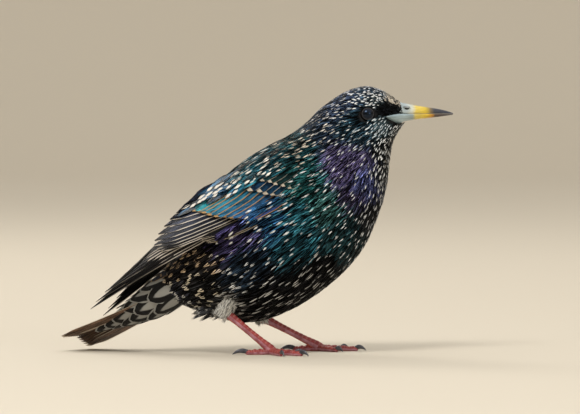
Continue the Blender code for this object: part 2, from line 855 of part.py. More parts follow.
def make_tail(torso):
    """The tail: a core behind the rump, with long feathers fanned and stacked, and coverts."""
    rings = []
    for distance, half_width, above, below in TAIL_CORE:
        ring = []
        for i in range(TAIL_CORE_SIDES):
            a = 2 * math.pi * i / TAIL_CORE_SIDES
            height = (above if math.sin(a) > 0 else below) * math.sin(a)
            ring.append(tail_point(distance, half_width * math.cos(a), height))
        rings.append(ring)
    tail = loft("tail", rings)
    feathers = [tail_feather(pair, side) for pair in range(TAIL_PAIRS) for side in (-1, 1)]
    feathers += [tail_covert(covert, -1) for covert in UNDERTAIL_COVERTS]
    feathers += [tail_covert(covert, 1) for covert in UPPERTAIL_COVERTS]
    combine(tail, feathers, "UNION", "MANIFOLD")
    return clear_of(tail, [torso], "MANIFOLD")


def leg_place(leg, place, height=None):
    """A place of a leg as a point in space; height stands in for a z that the place doesn't have."""
    return Vector((place[0], leg.side * place[1], place[2] if height is None else height))


def make_thigh(label, leg, torso):
    """The feathered upper leg, from inside the flank to the ankle."""
    knee, end = leg_place(leg, leg.knee), leg_place(leg, leg.sock_end)
    points = [knee.lerp(end, share) for share, _, _ in THIGH_SECTIONS]
    radii = [(width, depth) for _, width, depth in THIGH_SECTIONS]
    return clear_of(tube(f"thigh_{label}", points, radii, THIGH_SIDES), [torso])


def make_shank(label, leg, neighbours):
    """The bare leg from the ankle down, which ends in the pad that the toes grow from."""
    ankle, foot = leg_place(leg, leg.ankle), leg_place(leg, leg.hub, PAD_HEIGHT)
    points = [ankle.lerp(foot, share) for share, _, _ in SHANK_SECTIONS]
    radii = [(width, depth) for _, width, depth in SHANK_SECTIONS]
    shank = tube(f"shank_{label}", points, radii, SHANK_SIDES, lowest=FLOOR)
    return clear_of(shank, neighbours)


def make_toes(label, leg):
    """The four toes of a foot and their claws, flat below where they stand on the floor.

    Neighbouring toes are parted by an upright plane half way between them, and each starts
    clear of the pad, the hind toe also clear of the shank above it.
    """
    centre = leg_place(leg, leg.hub, FLOOR)
    pad = leg_place(leg, leg.hub, PAD_HEIGHT)
    shank = (leg_place(leg, leg.ankle) - pad).normalized()
    below_shank = (Vector((0, 0, -1)) + shank * shank.z).normalized()
    order = sorted(TOE_LENGTHS, key=lambda name: leg.toes[name])
    for place, name in enumerate(order):
        ahead = compass_direction(leg.toes[name], leg.side)
        length = TOE_LENGTHS[name]
        points = [centre + ahead * (length * f) + Vector((0, 0, w * TOE_LEVEL)) for f, w in TOE_SECTIONS]
        radii = [(width, width * TOE_DEPTH) for _, width in TOE_SECTIONS]
        toe = tube(f"toe_{name}_{label}", points, radii, TOE_SIDES, (ahead, ahead), FLOOR)
        bisected(toe, centre + ahead * (PAD_REACH + FACE_GAP), -ahead)
        if name == "hind":
            bisected(toe, pad + below_shank * (PAD_REACH + FACE_GAP), -below_shank)
        for other in (place - 1, place + 1):
            if 0 <= other < len(order):
                part_toes(toe, centre, leg.side, leg.toes[name], leg.toes[order[other]])
        make_claw(f"claw_{name}_{label}", centre + ahead * (length + FACE_GAP), ahead, CLAW_LENGTHS[name])


def make_claw(name, toe_end, ahead, length):
    """One claw, arched from the toe's end down to its point."""
    base = toe_end + Vector((0, 0, CLAW_BASE_HEIGHT))
    spine = [base + ahead * (length * f) + Vector((0, 0, rise)) for f, rise, _, _ in CLAW_SECTIONS]
    radii = [(width, depth) for _, _, width, depth in CLAW_SECTIONS]
    return tube(name, spine, radii, CLAW_SIDES, (ahead, None), FLOOR)


def compass_direction(degrees, side):
    """A level direction, turned from straight ahead towards the outer side of the given foot."""
    angle = math.radians(degrees)
    return Vector((math.cos(angle), side * math.sin(angle), 0))


def part_toes(toe, centre, side, own, other):
    """Cuts toe back to the upright plane half way between its compass and its neighbour's."""
    half_way = compass_direction((own + other) / 2, side)
    normal = Vector((-half_way.y, half_way.x, 0))
    if normal.dot(compass_direction(other, side)) < 0:
        normal = -normal
    bisected(toe, centre - normal * (FACE_GAP / 2), normal)


LOOKS = {
    "head": ((0.03, 0.035, 0.05), 0.45, 0.2),
    "neck": ((0.035, 0.03, 0.06), 0.45, 0.2),
    "torso": ((0.02, 0.045, 0.045), 0.45, 0.2),
    "wing": ((0.05, 0.045, 0.04), 0.5, 0.1),
    "tail": ((0.05, 0.045, 0.04), 0.5, 0.0),
    "thigh": ((0.05, 0.05, 0.05), 0.6, 0.0),
    "eye": ((0.01, 0.008, 0.006), 0.08, 0.0),
    "bill": ((0.55, 0.5, 0.3), 0.35, 0.0),
    "shank": ((0.55, 0.16, 0.13), 0.5, 0.0),
    "toe": ((0.5, 0.17, 0.14), 0.5, 0.0),
    "claw": ((0.05, 0.05, 0.06), 0.3, 0.0),
}


def dress():
    """Gives each solid its own material and smooth shading, with sharp edges kept."""
    for obj in bird.objects:
        colour, roughness, metallic = LOOKS[obj.name.split("_")[0]]
        material = bpy.data.materials.new(obj.name)
        material.use_nodes = True
        shader = material.node_tree.nodes["Principled BSDF"]
        shader.inputs["Base Color"].default_value = (*colour, 1)
        shader.inputs["Roughness"].default_value = roughness
        shader.inputs["Metallic"].default_value = metallic
        obj.data.materials.clear()
        obj.data.materials.append(material)
        obj.data.shade_smooth()
        obj.data.set_sharp_from_angle(angle=SHARP_EDGE)


def stand_at_origin():
    """Moves the solids level, so that the middle of the bird's box is over the origin."""
    corners = np.array([v.co for obj in bird.objects for v in obj.data.vertices])
    middle = (corners.min(0) + corners.max(0)) / 2
    for obj in bird.objects:
        obj.data.transform(Matrix.Translation((-middle[0], -middle[1], 0)))


def clear_cutters():
    """Removes the cutters that are left once every cut is made."""
    for obj in list(cutters.objects):
        bpy.data.objects.remove(obj)


def main():
    """Makes every part of the bird, from the bill back and down to the claws."""
    make_head(make_bill())
    neck = body_stretch("neck", HEAD_NECK_CUT, NECK_TORSO_CUT)
    torso = body_stretch("torso", NECK_TORSO_CUT, None)
    wing = make_wing([torso, neck])
    mirrored(wing, "wing_right")
    make_tail(torso)
    for label, leg in LEGS.items():
        thigh = make_thigh(label, leg, torso)
        make_shank(label, leg, [torso, thigh])
        make_toes(label, leg)
    clear_cutters()
    stand_at_origin()
    dress()


for old in list(bpy.data.objects):
    bpy.data.objects.remove(old)
bird = bpy.data.collections.new("starling")
cutters = bpy.data.collections.new("cutters")
cutters.hide_render = True
for holder in (bird, cutters):
    bpy.context.scene.collection.children.link(holder)
main()
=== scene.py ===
"""A common starling in winter plumage, standing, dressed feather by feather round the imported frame.

Shapes are worked out in millimetres in the bird's own frame: x forwards, z up, y = 0 its mid-plane
and the right side at -y. Each finished mesh is moved to the row frame, in metres.
"""

import logging
import math
from dataclasses import dataclass
from enum import Enum
from typing import Callable, Iterable, Sequence

import bpy
import numpy as np
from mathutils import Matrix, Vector

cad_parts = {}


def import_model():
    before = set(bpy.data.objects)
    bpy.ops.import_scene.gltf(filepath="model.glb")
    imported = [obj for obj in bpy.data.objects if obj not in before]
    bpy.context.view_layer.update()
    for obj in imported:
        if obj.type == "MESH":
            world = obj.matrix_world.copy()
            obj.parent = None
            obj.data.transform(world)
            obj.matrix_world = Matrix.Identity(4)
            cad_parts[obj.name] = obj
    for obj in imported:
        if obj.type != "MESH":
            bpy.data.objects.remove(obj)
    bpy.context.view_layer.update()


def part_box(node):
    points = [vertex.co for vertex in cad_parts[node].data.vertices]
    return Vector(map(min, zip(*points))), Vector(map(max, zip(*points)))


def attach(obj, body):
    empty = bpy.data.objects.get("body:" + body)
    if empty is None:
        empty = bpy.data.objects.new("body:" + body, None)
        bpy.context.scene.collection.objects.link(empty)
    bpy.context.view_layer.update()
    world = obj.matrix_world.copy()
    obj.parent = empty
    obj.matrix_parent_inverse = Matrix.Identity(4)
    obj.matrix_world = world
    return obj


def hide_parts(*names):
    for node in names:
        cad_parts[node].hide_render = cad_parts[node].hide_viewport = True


logging.basicConfig(level=logging.INFO, format="%(message)s")
log = logging.getLogger("starling")

Array = np.ndarray
Draw = np.random.Generator
Material = bpy.types.Material
Object = bpy.types.Object
Colour = tuple[float, float, float]
Place = tuple[float, float]

MM = 0.001
BODY = "root"
# The size of a feather's patch on its coat's unwrapped skin.
PATCH = 0.003
# Where the mark of a feather without one starts: at the very tip.
UNMARKED = 1.0


class Slot(Enum):
    """The material slots of the record, one passed with each piece."""

    HEAD = "head_plumage"
    BODY = "body_plumage"
    WING = "wing_feathers"
    TAIL = "tail_feathers"
    LEG_PLUMAGE = "leg_plumage"
    EYE = "eye"
    BILL = "bill"
    LEG = "leg_scutes"
    CLAW = "claw"


class Side(Enum):
    """A side of the bird, with the sign of y there."""

    RIGHT = -1
    LEFT = 1


def spline(rows: Sequence, s: Array) -> Array:
    """Reads rows of numbers on a smooth curve that passes through each row.

    Args:
        rows: the rows, evenly spaced at places 0, 1, 2 and so on.
        s: the places to read at.

    Returns:
        The values there, with the columns of the rows as the last axis.
    """
    rows = np.asarray(rows, float)
    s = np.asarray(s, float)
    last = len(rows) - 1
    i = np.clip(s.astype(int), 0, last - 1)
    f = (s - i)[..., None]
    a, b, c, d = (rows[np.clip(i + k, 0, last)] for k in (-1, 0, 1, 2))
    return 0.5 * (
        2 * b + (c - a) * f + (2 * a - 5 * b + 4 * c - d) * f**2 + (3 * b - a - 3 * c + d) * f**3
    )


def spline_all(rows: Sequence, count: int) -> Array:
    """Reads the whole of such a curve at evenly spaced places."""
    return spline(rows, np.linspace(0, len(rows) - 1, count))


def unit(v: Array) -> Array:
    """The vectors of an array at length 1."""
    return v / np.maximum(np.linalg.norm(v, axis=-1, keepdims=True), 1e-9)


def dot(a: Array, b: Array) -> Array:
    """The dot products of two arrays of vectors, kept as a last axis of one."""
    return (a * b).sum(-1, keepdims=True)


def smooth_step(low: float, high: float, x: Array) -> Array:
    """0 below low, 1 above high, and an even curve between."""
    t = np.clip((np.asarray(x, float) - low) / (high - low), 0, 1)
    return t * t * (3 - 2 * t)


def near_weights(x: Array, z: Array, places: Array, reaches: Array, fall: float = 2.5) -> Array:
    """How much each of some places counts at x, z in the side view, by closeness."""
    away = ((x[..., None] - places[:, 0]) ** 2 + (z[..., None] - places[:, 1]) ** 2) / reaches**2
    weights = 1 / (0.05 + away) ** fall
    return weights / weights.sum(-1, keepdims=True)


def round_angles(count: int) -> Array:
    """Evenly spaced angles once round."""
    return np.linspace(0, 2 * math.pi, count, endpoint=False)


def run_along(points: Array) -> Array:
    """The distance run along a line of points, up to each point."""
    return np.concatenate(((0,), np.cumsum(np.linalg.norm(np.diff(points, axis=0), axis=1))))


def read_along(run: Array, rows: Array, places: Array) -> Array:
    """Rows of numbers, known at the places of run, read at other places."""
    return np.stack([np.interp(places, run, column) for column in rows.T], -1)


def root_sink(v: Array) -> Array:
    """How far a feather is sunk at a place along it, from 1 at its root to 0 at its tip."""
    return (1 - v) ** 1.6


def square_to(start: Array, end: Array) -> tuple[Array, Array]:
    """Two directions square to the line between two places."""
    way = unit(end - start)
    side = unit(np.cross(way, (0, 1, 0)))
    return side, np.cross(side, way)


class Plot:
    """Moves the bird's own frame, in millimetres, to the row frame, in metres."""

    BILL_TIP_X = 93.2

    def __init__(self) -> None:
        """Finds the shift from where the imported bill's tip lies."""
        low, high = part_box("bill_upper")
        self.shift = np.array((high.x - self.BILL_TIP_X * MM, (low.y + high.y) / 2, 0.0))

    def to_row(self, points: Array) -> Array:
        """Points of the bird's frame in the row frame."""
        return np.asarray(points, float) * MM + self.shift

    def from_row(self, points: Iterable) -> Array:
        """Points of the row frame in the bird's frame."""
        return (np.asarray(points, float) - self.shift) / MM


# The feathered body


@dataclass(frozen=True)
class BodyShape:
    """The outer surface of head, neck and torso out to the feathers' tips.

    A place on it is s, the station from the bill back to the rump, and q, the share of the way
    round from the back (0) to the belly (1), positive on the left side and negative on the right.
    """

    # Top x and z, bottom x and z, and half width of each station.
    stations: tuple = (
        (70.0, 119.6, 76.0, 112.0, 2.0),
        (66.8, 121.6, 70.7, 110.4, 4.5),
        (62.5, 124.3, 67.6, 107.0, 6.3),
        (57.2, 127.0, 64.7, 101.8, 8.3),
        (51.0, 128.1, 63.2, 96.5, 9.9),
        (43.8, 126.4, 62.3, 89.8, 11.2),
        (36.6, 122.3, 61.6, 83.0, 13.0),
        (29.4, 116.9, 59.6, 73.9, 16.8),
        (22.7, 110.4, 56.3, 64.3, 21.0),
        (15.0, 104.7, 51.0, 52.3, 24.7),
        (5.4, 99.8, 43.3, 41.8, 27.2),
        (-5.2, 93.4, 34.7, 33.6, 28.3),
        (-15.4, 85.4, 24.6, 26.2, 28.0),
        (-23.3, 76.0, 14.0, 20.2, 26.4),
        (-30.0, 66.8, 2.5, 15.9, 23.6),
        (-35.5, 58.3, -9.0, 14.9, 20.0),
        (-39.6, 51.0, -20.0, 17.3, 16.0),
        (-42.8, 44.5, -29.6, 20.6, 12.3),
        (-45.5, 39.5, -35.0, 22.6, 9.5),
    )
    # How square a section is at the head and at the body, and the stations where that changes.
    squareness: tuple = (2.5, 2.15)
    squareness_at: tuple = (4.0, 8.0)
    rows_per_station: int = 20
    columns: int = 128

    def __post_init__(self) -> None:
        """Works out the surface's points and directions on an even grid."""
        count = (len(self.stations) - 1) * self.rows_per_station + 1
        s = np.linspace(0, len(self.stations) - 1, count)
        top_x, top_z, low_x, low_z, half = (c[:, None] for c in spline(self.stations, s).T)
        power = 2 / np.interp(s, self.squareness_at, self.squareness)[:, None]
        angle = np.linspace(0, math.pi, 4 * self.columns + 1)[None]
        rise = np.sign(np.cos(angle)) * np.abs(np.cos(angle)) ** power
        fine = np.stack(
            (
                (top_x + low_x) / 2 + (top_x - low_x) / 2 * rise,
                half * np.abs(np.sin(angle)) ** power,
                (top_z + low_z) / 2 + (top_z - low_z) / 2 * rise,
            ),
            -1,
        )
        grid = np.zeros((count, self.columns + 1, 3))
        around = np.zeros(count)
        for i, ring in enumerate(fine):
            run = run_along(ring)
            around[i] = run[-1]
            grid[i] = read_along(run, ring, np.linspace(0, run[-1], self.columns + 1))
        along = np.gradient(grid, axis=0)
        across = np.gradient(grid, axis=1)
        across[:, 0] = (0, 1, 0)
        across[:, -1] = (0, -1, 0)
        normals = unit(np.cross(across, along))
        last = float(len(self.stations) - 1)
        for key, value in (("grid", grid), ("half_round", around), ("normals", normals), ("last", last)):
            object.__setattr__(self, key, value)

    def read(self, table: Array, s: Array, q: Array) -> Array:
        """Reads a table of the surface at places s and q, mirrored for the right side."""
        q = (np.asarray(q, float) + 1) % 2 - 1
        side = np.where(q < 0, -1.0, 1.0)
        i = np.clip(np.asarray(s, float) * self.rows_per_station, 0, len(table) - 1.001)
        j = np.clip(np.abs(q) * self.columns, 0, self.columns - 0.001)
        i0, j0 = i.astype(int), j.astype(int)
        fi, fj = (i - i0)[..., None], (j - j0)[..., None]
        low = table[i0, j0] * (1 - fj) + table[i0, j0 + 1] * fj
        high = table[i0 + 1, j0] * (1 - fj) + table[i0 + 1, j0 + 1] * fj
        value = low * (1 - fi) + high * fi
        value[..., 1] *= side
        return value

    def point(self, s: Array, q: Array) -> Array:
        """Points of the surface; past its ends they run straight on."""
        s = np.asarray(s, float)
        held = np.clip(s, 0, self.last)
        value = self.read(self.grid, held, q)
        step = 0.2
        before = self.read(self.grid, np.where(s < held, held + step, held - step), q)
        past = (np.abs(s - held) / step)[..., None]
        return value + (value - before) * past

    def normal(self, s: Array, q: Array) -> Array:
        """Outward directions of the surface."""
        return unit(self.read(self.normals, s, q))

    def steps(self, s: Array, q: Array) -> tuple[Array, Array]:
        """How far a point moves, as vectors, for one step of s and one of q."""
        ds, dq = 0.05, 0.01
        along = (self.point(s + ds, q) - self.point(s - ds, q)) / (2 * ds)
        around = (self.point(s, q + dq) - self.point(s, q - dq)) / (2 * dq)
        return along, around

    def round_at(self, s: float) -> float:
        """Half the way round the body at a station."""
        return float(np.interp(s * self.rows_per_station, range(len(self.half_round)), self.half_round))


@dataclass(frozen=True)
class WingShape:
    """The outer surface of a folded wing, on the left side.

    A place on it is a distance along the side view's line from the shoulder to the tip, and an
    offset across that line, positive downwards.
    """

    shoulder: Place = (28.0, 90.0)
    tip: Place = (-82.0, 22.0)
    distances: tuple = (-2.0, 12.0, 33.0, 56.0, 77.0, 98.0, 116.0, 131.0)
    # Offsets of the upper and lower edges, and how far out from the mid-plane each lies.
    rows: tuple = (
        (-5.5, 4.2, 15.5, 20.0),
        (-15.5, 4.0, 14.0, 26.0),
        (-19.8, 4.5, 9.5, 30.2),
        (-17.0, 4.3, 4.5, 29.4),
        (-13.4, 2.8, 2.8, 23.5),
        (-6.4, 1.6, 2.8, 15.0),
        (-3.6, 0.6, 3.4, 9.4),
        (-3.0, 1.0, 4.0, 7.0),
    )
    curl: float = 0.72
    # How much of a feather's height over the surface moves it in the side view.
    flat_share: float = 0.35

    def axes(self) -> tuple[Array, Array]:
        """The side view's directions along the wing and across it, downwards."""
        along = unit(np.subtract(self.tip, self.shoulder))
        return along, np.array((-along[1], along[0]))

    def edges(self, distance: Array) -> Array:
        """The row of edge values at a distance along the wing."""
        return spline(self.rows, np.interp(distance, self.distances, range(len(self.distances))))

    def chart(self, x: Array, z: Array) -> tuple[Array, Array]:
        """The distance and offset of side-view places."""
        along, across = self.axes()
        dx, dz = np.asarray(x) - self.shoulder[0], np.asarray(z) - self.shoulder[1]
        return dx * along[0] + dz * along[1], dx * across[0] + dz * across[1]

    def out(self, distance: Array, offset: Array) -> Array:
        """How far the surface lies out from the mid-plane."""
        upper, lower, y_upper, y_lower = np.moveaxis(self.edges(distance), -1, 0)
        share = np.clip((offset - upper) / (lower - upper), 0, 1)
        return y_upper + (y_lower - y_upper) * np.sin(math.pi / 2 * share**self.curl)

    def point(self, distance: Array, offset: Array) -> Array:
        """Points of the surface."""
        along, across = self.axes()
        flat = np.asarray(self.shoulder) + distance[..., None] * along + offset[..., None] * across
        return np.stack((flat[..., 0], self.out(distance, offset), flat[..., 1]), -1)

    def outward(self, distance: Array, offset: Array) -> Array:
        """Outward directions of the surface, taken just inside its edges."""
        step = 0.4
        upper, lower = np.moveaxis(self.edges(distance), -1, 0)[:2]
        offset = np.clip(offset, upper + 2 * step, lower - 2 * step)
        distance = np.maximum(distance, self.distances[0] + step)
        along = self.point(distance + step, offset) - self.point(distance - step, offset)
        across = self.point(distance, offset + step) - self.point(distance, offset - step)
        return unit(np.cross(across, along)) * (self.flat_share, 1, self.flat_share)


@dataclass(frozen=True)
class WingWindow:
    """The part of the folded wing that body feathers leave bare."""

    wing: WingShape
    start: float = 13.0
    # Upper and lower offsets of the bare part by distance along the wing.
    distances: tuple = (13.0, 18.0, 29.0, 40.0, 50.0, 66.0)
    upper: tuple = (-3.5, -6.0, -10.0, -11.4, -12.9, -15.5)
    lower: tuple = (0.0, 0.6, 1.6, 2.2, 2.6, 3.0)
    # Past these distances the wing stands free of the body and nothing covers it.
    free: tuple = (58.0, 70.0)
    free_drop: float = 30.0
    clearance: float = 0.9
    # How fast the raised feathers fall back to the body in front of, above and below the wing.
    slope_round: float = 1.3
    slope_above: float = 4.0
    softness: float = 1.2
    # How far inside the wing's upper edge the raising has faded out, and the edge's tolerance.
    back_fade: float = 2.5
    edge_margin: float = 1.0

    def shows(self, points: Array) -> Array:
        """Whether each point lies over the bare part in the side view."""
        d, offset = self.wing.chart(points[..., 0], points[..., 2])
        upper = np.interp(d, self.distances, self.upper)
        lower = np.interp(d, self.distances, self.lower)
        between = (offset > upper) & (offset < lower)
        return (d > self.start) & (d < self.free[1]) & between & ~self.inside(points)

    def inside(self, points: Array) -> Array:
        """Whether each point lies nearer to the mid-plane than the wing's upper edge."""
        d, _ = self.wing.chart(points[..., 0], points[..., 2])
        return np.abs(points[..., 1]) < self.wing.edges(d)[..., 2] - self.edge_margin

    def rise_over(self, points: Array) -> Array:
        """Points moved out from the mid-plane where the wing lies under them."""
        d, offset = self.wing.chart(points[..., 0], points[..., 2])
        held = np.clip(d, self.wing.distances[0], self.wing.distances[-1])
        upper, lower, edge_out = np.moveaxis(self.wing.edges(held), -1, 0)[:3]
        inside = np.clip(offset, upper, lower)
        beyond = np.hypot(np.maximum(offset - inside, 0), d - held)
        fall = self.slope_round * beyond + self.slope_above * np.maximum(inside - offset, 0)
        away = self.free_drop * smooth_step(*self.free, d)
        least = self.wing.out(held, inside) + self.clearance - fall - away
        now = np.abs(points[..., 1])
        raised = (now + least + np.sqrt((now - least) ** 2 + self.softness**2)) / 2
        close = smooth_step(-self.softness * 3, 0, least - now)
        # Between the wings, nearer to the mid-plane than their edges, the back stays as it is.
        close = close * smooth_step(-self.back_fade, 0.0, now - edge_out)
        moved = points.copy()
        moved[..., 1] = np.sign(points[..., 1]) * (now + (raised - now) * close)
        return moved


@dataclass(frozen=True)
class TailShape:
    """The tail's own directions, and its places by distance, to the left and up."""

    root: Place = (-37.0, 34.0)
    length: float = 64.5
    dip: float = math.radians(30.0)
    turn: float = math.radians(23.0)
    roll: float = math.radians(16.0)
    sweep: float = 5.5
    # The coverts' outer surface: distance, half width, height above and depth below.
    sleeve: tuple = (
        (-8.0, 8.5, 9.0, 9.0),
        (6.0, 9.8, 8.6, 9.6),
        (16.0, 9.8, 6.6, 9.2),
        (25.0, 9.2, 4.4, 8.0),
        (33.0, 8.2, 2.6, 6.4),
        (44.0, 6.6, 1.0, 3.6),
        (58.0, 4.4, 0.3, 1.2),
    )

    def axes(self) -> tuple[Array, Array, Array]:
        """The directions back along the tail, towards the bird's left, and up from its face."""
        dip, turn = self.dip, self.turn
        along = np.array(
            (-math.cos(dip) * math.cos(turn), math.cos(dip) * math.sin(turn), -math.sin(dip))
        )
        flat_left = np.array((math.sin(turn), math.cos(turn), 0.0))
        flat_up = unit(np.cross(flat_left, along))
        flat_up *= math.copysign(1, flat_up[2])
        left = flat_left * math.cos(self.roll) - flat_up * math.sin(self.roll)
        up = flat_up * math.cos(self.roll) + flat_left * math.sin(self.roll)
        return along, left, up

    def point(self, distance: Array, to_left: Array, height: Array) -> Array:
        """Points of the tail."""
        along, left, up = self.axes()
        bend = self.sweep * (distance / self.length) * np.abs(distance / self.length)
        start = np.array((self.root[0], 0.0, self.root[1]))
        return (
            start
            + distance[..., None] * along
            + to_left[..., None] * left
            + (height + bend)[..., None] * up
        )

    def sleeve_point(self, distance: Array, angle: Array, lift: Array) -> Array:
        """Points on the coverts' surface, by the angle round it from the middle of its underside."""
        places, half, above, below = np.transpose(self.sleeve)
        wide = np.interp(distance, places, half) + lift
        deep = np.where(
            np.cos(angle) > 0, np.interp(distance, places, below), np.interp(distance, places, above)
        )
        return self.point(distance, wide * np.sin(angle), -(deep + lift) * np.cos(angle))


# Templates: a feather's vane, modelled once and copied to every place


@dataclass(frozen=True)
class VaneModel:
    """A feather's vane as points (u, v, h), quads, and its share of the full width at each point."""

    points: Array
    quads: Array
    share: Array


@dataclass(frozen=True)
class VanePattern:
    """The sizes of a vane, which is modelled as a grid, tapered and given its thickness.

    widths gives (share along, share of the full half width); ridges is how far each second line
    of the vane stands up, notches how much shorter its tip is there, both as shares. thickness is
    in the unit of each use's height.
    """

    columns: int
    rows: int
    widths: tuple
    ridges: float = 0.0
    notches: float = 0.0
    thickness: float = 0.5

    def model(self) -> VaneModel:
        """Models the vane with Blender's tools and reads it back."""
        bpy.ops.mesh.primitive_grid_add(
            x_subdivisions=self.columns, y_subdivisions=self.rows, size=2, location=(0, 0, 0)
        )
        vane = bpy.context.object
        u, v, _ = read_points(vane.data).T
        v = (v + 1) / 2
        half = np.interp(v, *zip(*self.widths))
        line = np.rint((u + 1) / 2 * self.columns).astype(int)
        even = (line - self.columns // 2) % 2 == 0
        height = np.where(even, self.ridges, 0.0) * half - 0.5 * (u * half) ** 2
        v = v * (1 - np.where(even, 0, self.notches) * smooth_step(0.7, 1, v))
        v = v - u**2 * 0.06 * smooth_step(0.6, 1, v)
        write_points(vane.data, np.stack((u * half, v, height), -1))
        solidify = vane.modifiers.new("thickness", "SOLIDIFY")
        solidify.thickness = self.thickness
        solidify.offset = -1
        bpy.ops.object.modifier_apply(modifier=solidify.name)
        points = read_points(vane.data)
        points[:, 1] = np.clip(points[:, 1], 0, 1)
        share = np.interp(points[:, 1], *zip(*self.widths))
        points[:, 0] = np.clip(points[:, 0], -share, share)
        quads = np.array([p.vertices[:] for p in vane.data.polygons])
        mesh = vane.data
        bpy.data.objects.remove(vane)
        bpy.data.meshes.remove(mesh)
        return VaneModel(points, quads, share)


def read_points(mesh: bpy.types.Mesh) -> Array:
    """The mesh's vertices as an array."""
    flat = np.zeros(len(mesh.vertices) * 3)
    mesh.vertices.foreach_get("co", flat)
    return flat.reshape(-1, 3)


def write_points(mesh: bpy.types.Mesh, points: Array) -> None:
    """Moves the mesh's vertices to the points of an array."""
    mesh.vertices.foreach_set("co", np.asarray(points, float).ravel())
    mesh.update()


class Vanes(Enum):
    """The kinds of vane that the coat is made of."""

    SMALL = VanePattern(2, 4, ((0, 0.5), (0.4, 1.0), (0.75, 0.85), (1, 0.2)), 0.5, 0.0)
    HACKLE = VanePattern(4, 5, ((0, 0.4), (0.25, 1.0), (0.55, 0.88), (0.8, 0.55), (1, 0.08)), 0.6, 0.1)
    STRAND = VanePattern(2, 4, ((0, 0.5), (0.4, 1.0), (0.75, 0.6), (1, 0.05)), 0.7, 0, 0.8)
    DOWN = VanePattern(4, 4, ((0, 0.4), (0.4, 1.0), (0.75, 0.9), (1, 0.7)), 0.5, 0.35)
    ROUND = VanePattern(
        6, 8, ((0, 0.4), (0.45, 1.0), (0.8, 0.95), (0.93, 0.74), (1, 0.35)), 0.25, 0.02
    )
    SQUARE = VanePattern(
        6, 10, ((0, 0.5), (0.4, 1.0), (0.88, 1.0), (0.96, 0.84), (1, 0.5)), 0.2, 0.0
    )
    OVAL = VanePattern(
        8, 12, ((0, 0.5), (0.35, 1.0), (0.6, 0.95), (0.8, 0.72), (0.93, 0.42), (1, 0.12)), 0.15, 0.0
    )
    LONG = VanePattern(
        8, 20, ((0, 0.6), (0.3, 0.95), (0.6, 1.0), (0.82, 0.84), (0.93, 0.5), (1, 0.14)), 0.1, 0.0, 1.0
    )
    POINTED = VanePattern(
        8, 24, ((0, 0.6), (0.3, 1.0), (0.55, 0.92), (0.72, 0.7), (0.87, 0.36), (1, 0.03)), 0.1, 0.0, 1.0
    )


MODELS: dict[Vanes, VaneModel] = {}


def vane_model(kind: Vanes) -> VaneModel:
    """The template of a kind of vane, modelled when it is first asked for."""
    if kind not in MODELS:
        MODELS[kind] = kind.value.model()
    return MODELS[kind]


@dataclass
class Flock:
    """Many feathers of one template, as arrays with one entry for each feather.

    pattern holds three numbers that the finish reads: where the mark starts along the vane, its
    half width across, and a third that each finish uses its own way. roots are the places of the
    feathers' roots on the unwrapped skin, from 0 to 1.
    """

    template: VaneModel
    points: Array
    sheen: Array
    mark: Array
    pattern: Array
    seeds: Array
    roots: Array


def even_flock(
    kind: Vanes, points: Array, sheen: Array, mark: Array, pattern: Array, roots: Array,
    draw: Draw, spread: float = 0.1,
) -> Flock:
    """A flock whose feathers look alike but for a small spread in lightness.

    Args:
        kind: the kind of vane.
        points: each feather's points.
        sheen: the colour of the vanes, one for all or one for each.
        mark: the colour of the marks, likewise.
        pattern: the pattern numbers, likewise.
        roots: the places of the roots on the unwrapped skin.
        draw: the source of the differences.
        spread: how much the lightness differs.

    Returns:
        The flock.
    """
    count = len(points)
    values = [np.broadcast_to(np.asarray(v, float), (count, 3)) for v in (sheen, mark, pattern)]
    vary = np.clip(draw.normal(1, spread, (count, 1)), 0.4, 1.8)
    seeds = draw.uniform(0, 1, count)
    return Flock(vane_model(kind), points, values[0] * vary, values[1], values[2], seeds, roots)


